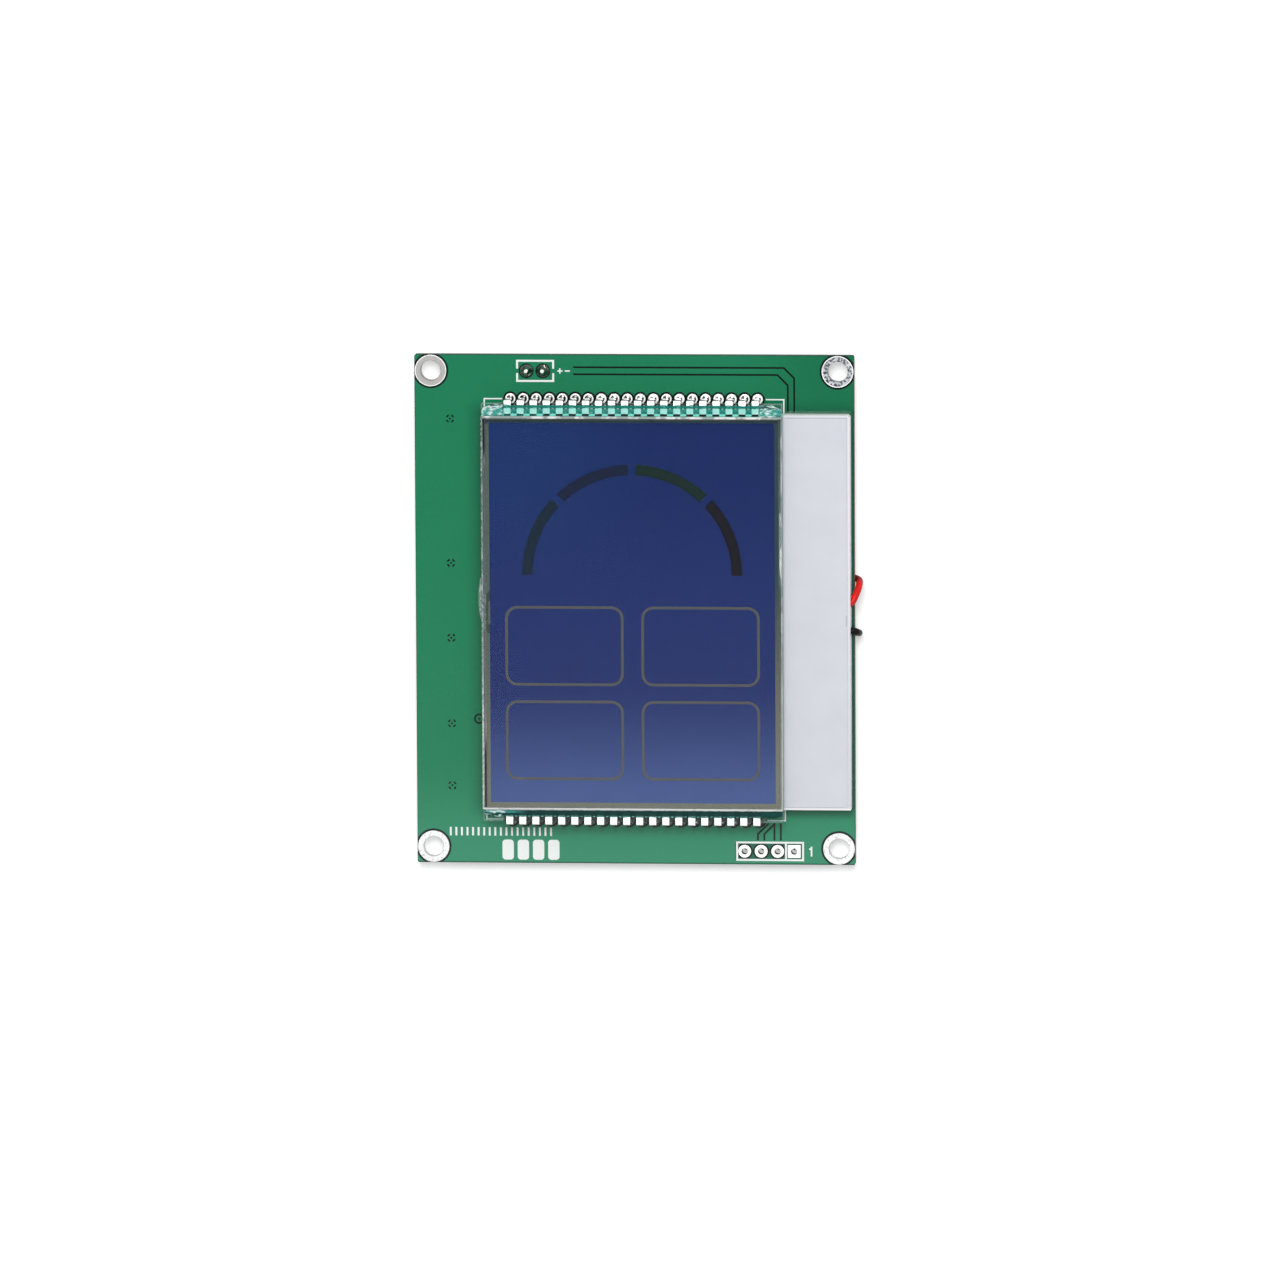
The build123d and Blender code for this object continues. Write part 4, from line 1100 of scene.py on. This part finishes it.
def guide_finish():
    f = Finish("light_guide_acrylic")
    dots = f.grain(0.8, 1.0)
    cover = (0.12 + 0.2 * f.rise(dots, 0.5, 0.6)).most(f.mirror_share())
    return f.clear((0.95, 0.97, 0.97, 1), cover, {
        "Base Color": (232, 238, 240), "Metallic": 0.0, "Roughness": 0.15, "IOR": 1.49,
    })


dress("light_guide", guide_finish())

# %% Insulation of the leads
def insulation_finish(name, dark, light, deep, shine):
    """Deep is a painted shade on the bend that dips into its own shade beside the board."""
    f = Finish(name)
    cloud = f.grain(0.9, 2.0)
    fine = f.grain(0.15, 2.0)
    shaded_bend = f.ramp(f.x, 33.2, 33.7) * (1 - f.ramp(f.z, 0.4, 1.7))
    return f.solid({
        "Base Color": f.colours(0.9 * shaded_bend, f.colours(cloud, dark, light), deep),
        "Roughness": 0.3 + 0.15 * fine,
        "Normal": f.relief(fine, 0.008, 0.5), "Specular IOR Level": shine,
    })


red_skin = insulation_finish("red_insulation", (206, 14, 10), (232, 30, 22), (120, 6, 14), 0.25)
black_skin = insulation_finish("black_insulation", (8, 8, 10), (18, 18, 20), (6, 6, 8), 0.12)
for wire, node, slot, material, points, length in (
    (red_wire, "red_lead", "red_insulation", red_skin, red_route, 76.8),
    (black_wire, "black_lead", "black_insulation", black_skin, black_route, 86.2),
):
    wire.data.materials.append(material)
    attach(wire, "root")
    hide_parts(node)

# %% [markdown]
# The back isn't in the photograph. It is finished plainly, as such a board is: a driver chip whose fine
# traces fan out to the pins, and a few capacitors and resistors on tinned pads. The traces are drawn as
# lines in Python and Geometry Nodes give them round corners and a width.

# %% Parts on the back
chip_centre = (1.5, -6.0)
chip_black = plastic_finish("chip_epoxy", (26, 26, 28), (40, 40, 42), 0.55, 0.12, 0.01)
capacitor_tan = plastic_finish("capacitor_ceramic", (150, 118, 84), (176, 142, 104), 0.45, 0.1)
resistor_black = plastic_finish("resistor_glaze", (20, 20, 22), (34, 34, 36), 0.3, 0.1)
for name, node, width, material, slot in (
    ("driver_chip_body", "driver_chip", 0.04, chip_black, "chip_epoxy"),
    ("capacitor_blocks", "capacitor_bodies", 0.05, capacitor_tan, "capacitor_tan"),
    ("capacitor_caps", "capacitor_ends", 0.06, ring_tin, "tinned_copper"),
    ("resistor_blocks", "resistor_bodies", 0.03, resistor_black, "resistor_black"),
    ("resistor_caps", "resistor_ends", 0.04, ring_tin, "tinned_copper"),
):
    eased_copy(name, node, width, material)
dress("driver_chip_leads", pin_tin)


# %% Traces on the back
def trace_lines():
    """One line for each pin, from the chip's lead out to the row, plus the header's four."""
    cx, cy = chip_centre
    lines = []
    for way in (1, -1):
        for number in range(pins_per_row):
            pin_x = first_pin_x + pin_pitch * number
            if 4 <= number <= 15:
                start = (cx + 0.5 * (number - 9.5), cy + way * 4.2)
                bend = (start[0], cy + way * 5.4)
            else:
                side = -1 if number < 4 else 1
                rank = 3 - number if number < 4 else number - 16
                start = (cx + side * 4.2, cy + way * (2.75 - 0.5 * rank))
                bend = (cx + side * 5.2, start[1])
            run = abs(pin_x - bend[0])
            lines.append([start, bend, (pin_x, bend[1] + way * run), (pin_x, way * pin_row_y)])
    for number, (x, y) in enumerate(header_places):
        start = (cx + 4.2, cy + 0.75 - 0.5 * number)
        turn_x = 24.6 - 0.8 * number
        last = (turn_x, -34.0 - 0.2 * number)
        lines.append([start, (turn_x - 1, start[1]), (turn_x, start[1] - 1), last, (x, y)])
    return lines


def trace_tree():
    r, given = growing_tree("flat_traces", (("Width", "Float"), ("Thickness", "Float"), ("Corner", "Float")))
    rounded = r.node("GeometryNodeFilletCurve", {"mode": "POLY"}, {
        "Curve": given["Geometry"], "Count": 4, "Radius": given["Corner"], "Limit Radius": True,
    })
    section = r.node("GeometryNodeCurvePrimitiveQuadrilateral", {}, {
        "Width": given["Width"], "Height": given["Thickness"],
    })
    ribbon = r.node("GeometryNodeCurveToMesh", {}, {
        "Curve": rounded, "Profile Curve": section, "Fill Caps": True,
    })
    return end_tree(r, ribbon, given["Finish"])


def traces():
    curve = bpy.data.curves.new("trace_lines", "CURVE")
    curve.dimensions = "3D"
    for points in trace_lines():
        line = curve.splines.new("POLY")
        line.points.add(len(points) - 1)
        for point, (x, y) in zip(line.points, points):
            point.co = (x * mm, y * mm, -0.008 * mm, 1)
    base = linked("trace_lines", curve)
    f = Finish("raised_mask")
    mottle = f.grain(0.3, 2.0)
    green = f.solid({
        "Base Color": f.colours(mottle, (36, 140, 92), (48, 152, 104)),
        "Roughness": 0.36 + 0.1 * mottle,
    })
    return grown("back_traces", base, trace_tree(), {
        "Width": 0.2 * mm, "Thickness": 0.04 * mm, "Corner": 0.6 * mm, "Finish": green,
    })


ribbons = traces()
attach(ribbons, "root")

# %% [markdown]
# The stage is a pale sweep under soft light. A tent of cloth surrounds the object, with a dark opening
# above for the camera, so flat metal at the top of the board looks grey. The cloth just past the near edge
# of the opening shows in whatever faces it: at this camera angle that is the lower half of the board, where
# the metal turns white and gloss lifts the colours a little. A lamp beyond the top edge gives the soft
# shadow below the lower one.

# %% Floor
floor_level = -2.0


def floor_finish():
    f = Finish("pale_sweep")
    seen = f.node("ShaderNodeLightPath", out=0)
    cloth = f.node("ShaderNodeBsdfDiffuse", {}, {"Color": (244, 244, 244)})
    glow = f.node("ShaderNodeEmission", {}, {"Color": (1, 1, 1, 1), "Strength": 0.37 * seen})
    return f.done(f.node("ShaderNodeAddShader", {}, {0: cloth, 1: glow}))


sweep = bpy.data.meshes.new("sweep")
reach = 4.0
sweep.from_pydata(
    [(-reach, -reach, floor_level * mm), (reach, -reach, floor_level * mm), (reach, reach, floor_level * mm),
     (-reach, reach, floor_level * mm)], [], [(0, 1, 2, 3)],
)
sweep.materials.append(floor_finish())
floor = linked("sweep", sweep)

# %% Tent of soft light
world = bpy.data.worlds.new("tent")
world.use_nodes = True
scene.world = world
sky = Recipe(world.node_tree)
world.node_tree.nodes.clear()
direction = sky.node("ShaderNodeTexCoord", out=0)
to_side, to_top, height = sky.axes(direction)


def slope(degrees):
    return math.tan(math.radians(degrees))


along = to_top / height
opening = sky.rise(along, slope(-7.72), slope(-7.12)) * (1 - sky.rise(along, slope(16), slope(26)))
opening = opening * (1 - sky.rise(abs(to_side / height), slope(14), slope(24))) * (height > 0.2)
dim = sky.rise(to_side - to_top, 0.2, 1.2) * (1 - sky.rise(height, 0.1, 0.6))
cloth = (1 - 0.93 * opening) * (1 - 0.6 * dim)
path = sky.node("ShaderNodeLightPath").socket.node
seen = Wire(sky, path.outputs["Is Camera Ray"])
mirrored = Wire(sky, path.outputs["Is Glossy Ray"])
level = (0.5 + 0.72 * mirrored) * cloth * (1 - seen) + seen
tent = sky.node("ShaderNodeBackground", {}, {"Color": (1, 1, 1, 1), "Strength": level})
world.node_tree.links.new(tent.socket, world.node_tree.nodes.new("ShaderNodeOutputWorld").inputs["Surface"])


# %% Lamp
lamp = bpy.data.lights.new("window_lamp", "AREA")
lamp.shape = "RECTANGLE"
lamp.size = lamp.size_y = 0.5
lamp.energy = 12.0
window = linked("window_lamp", lamp)
window.location = (0.07, 0.5, 1.35)
window.rotation_mode = "QUATERNION"
window.rotation_quaternion = window.location.to_track_quat("Z", "Y")

# %% [markdown]
# Colours are shown as they are, without a film look.

# %% Finish
scene.view_settings.view_transform = "Standard"
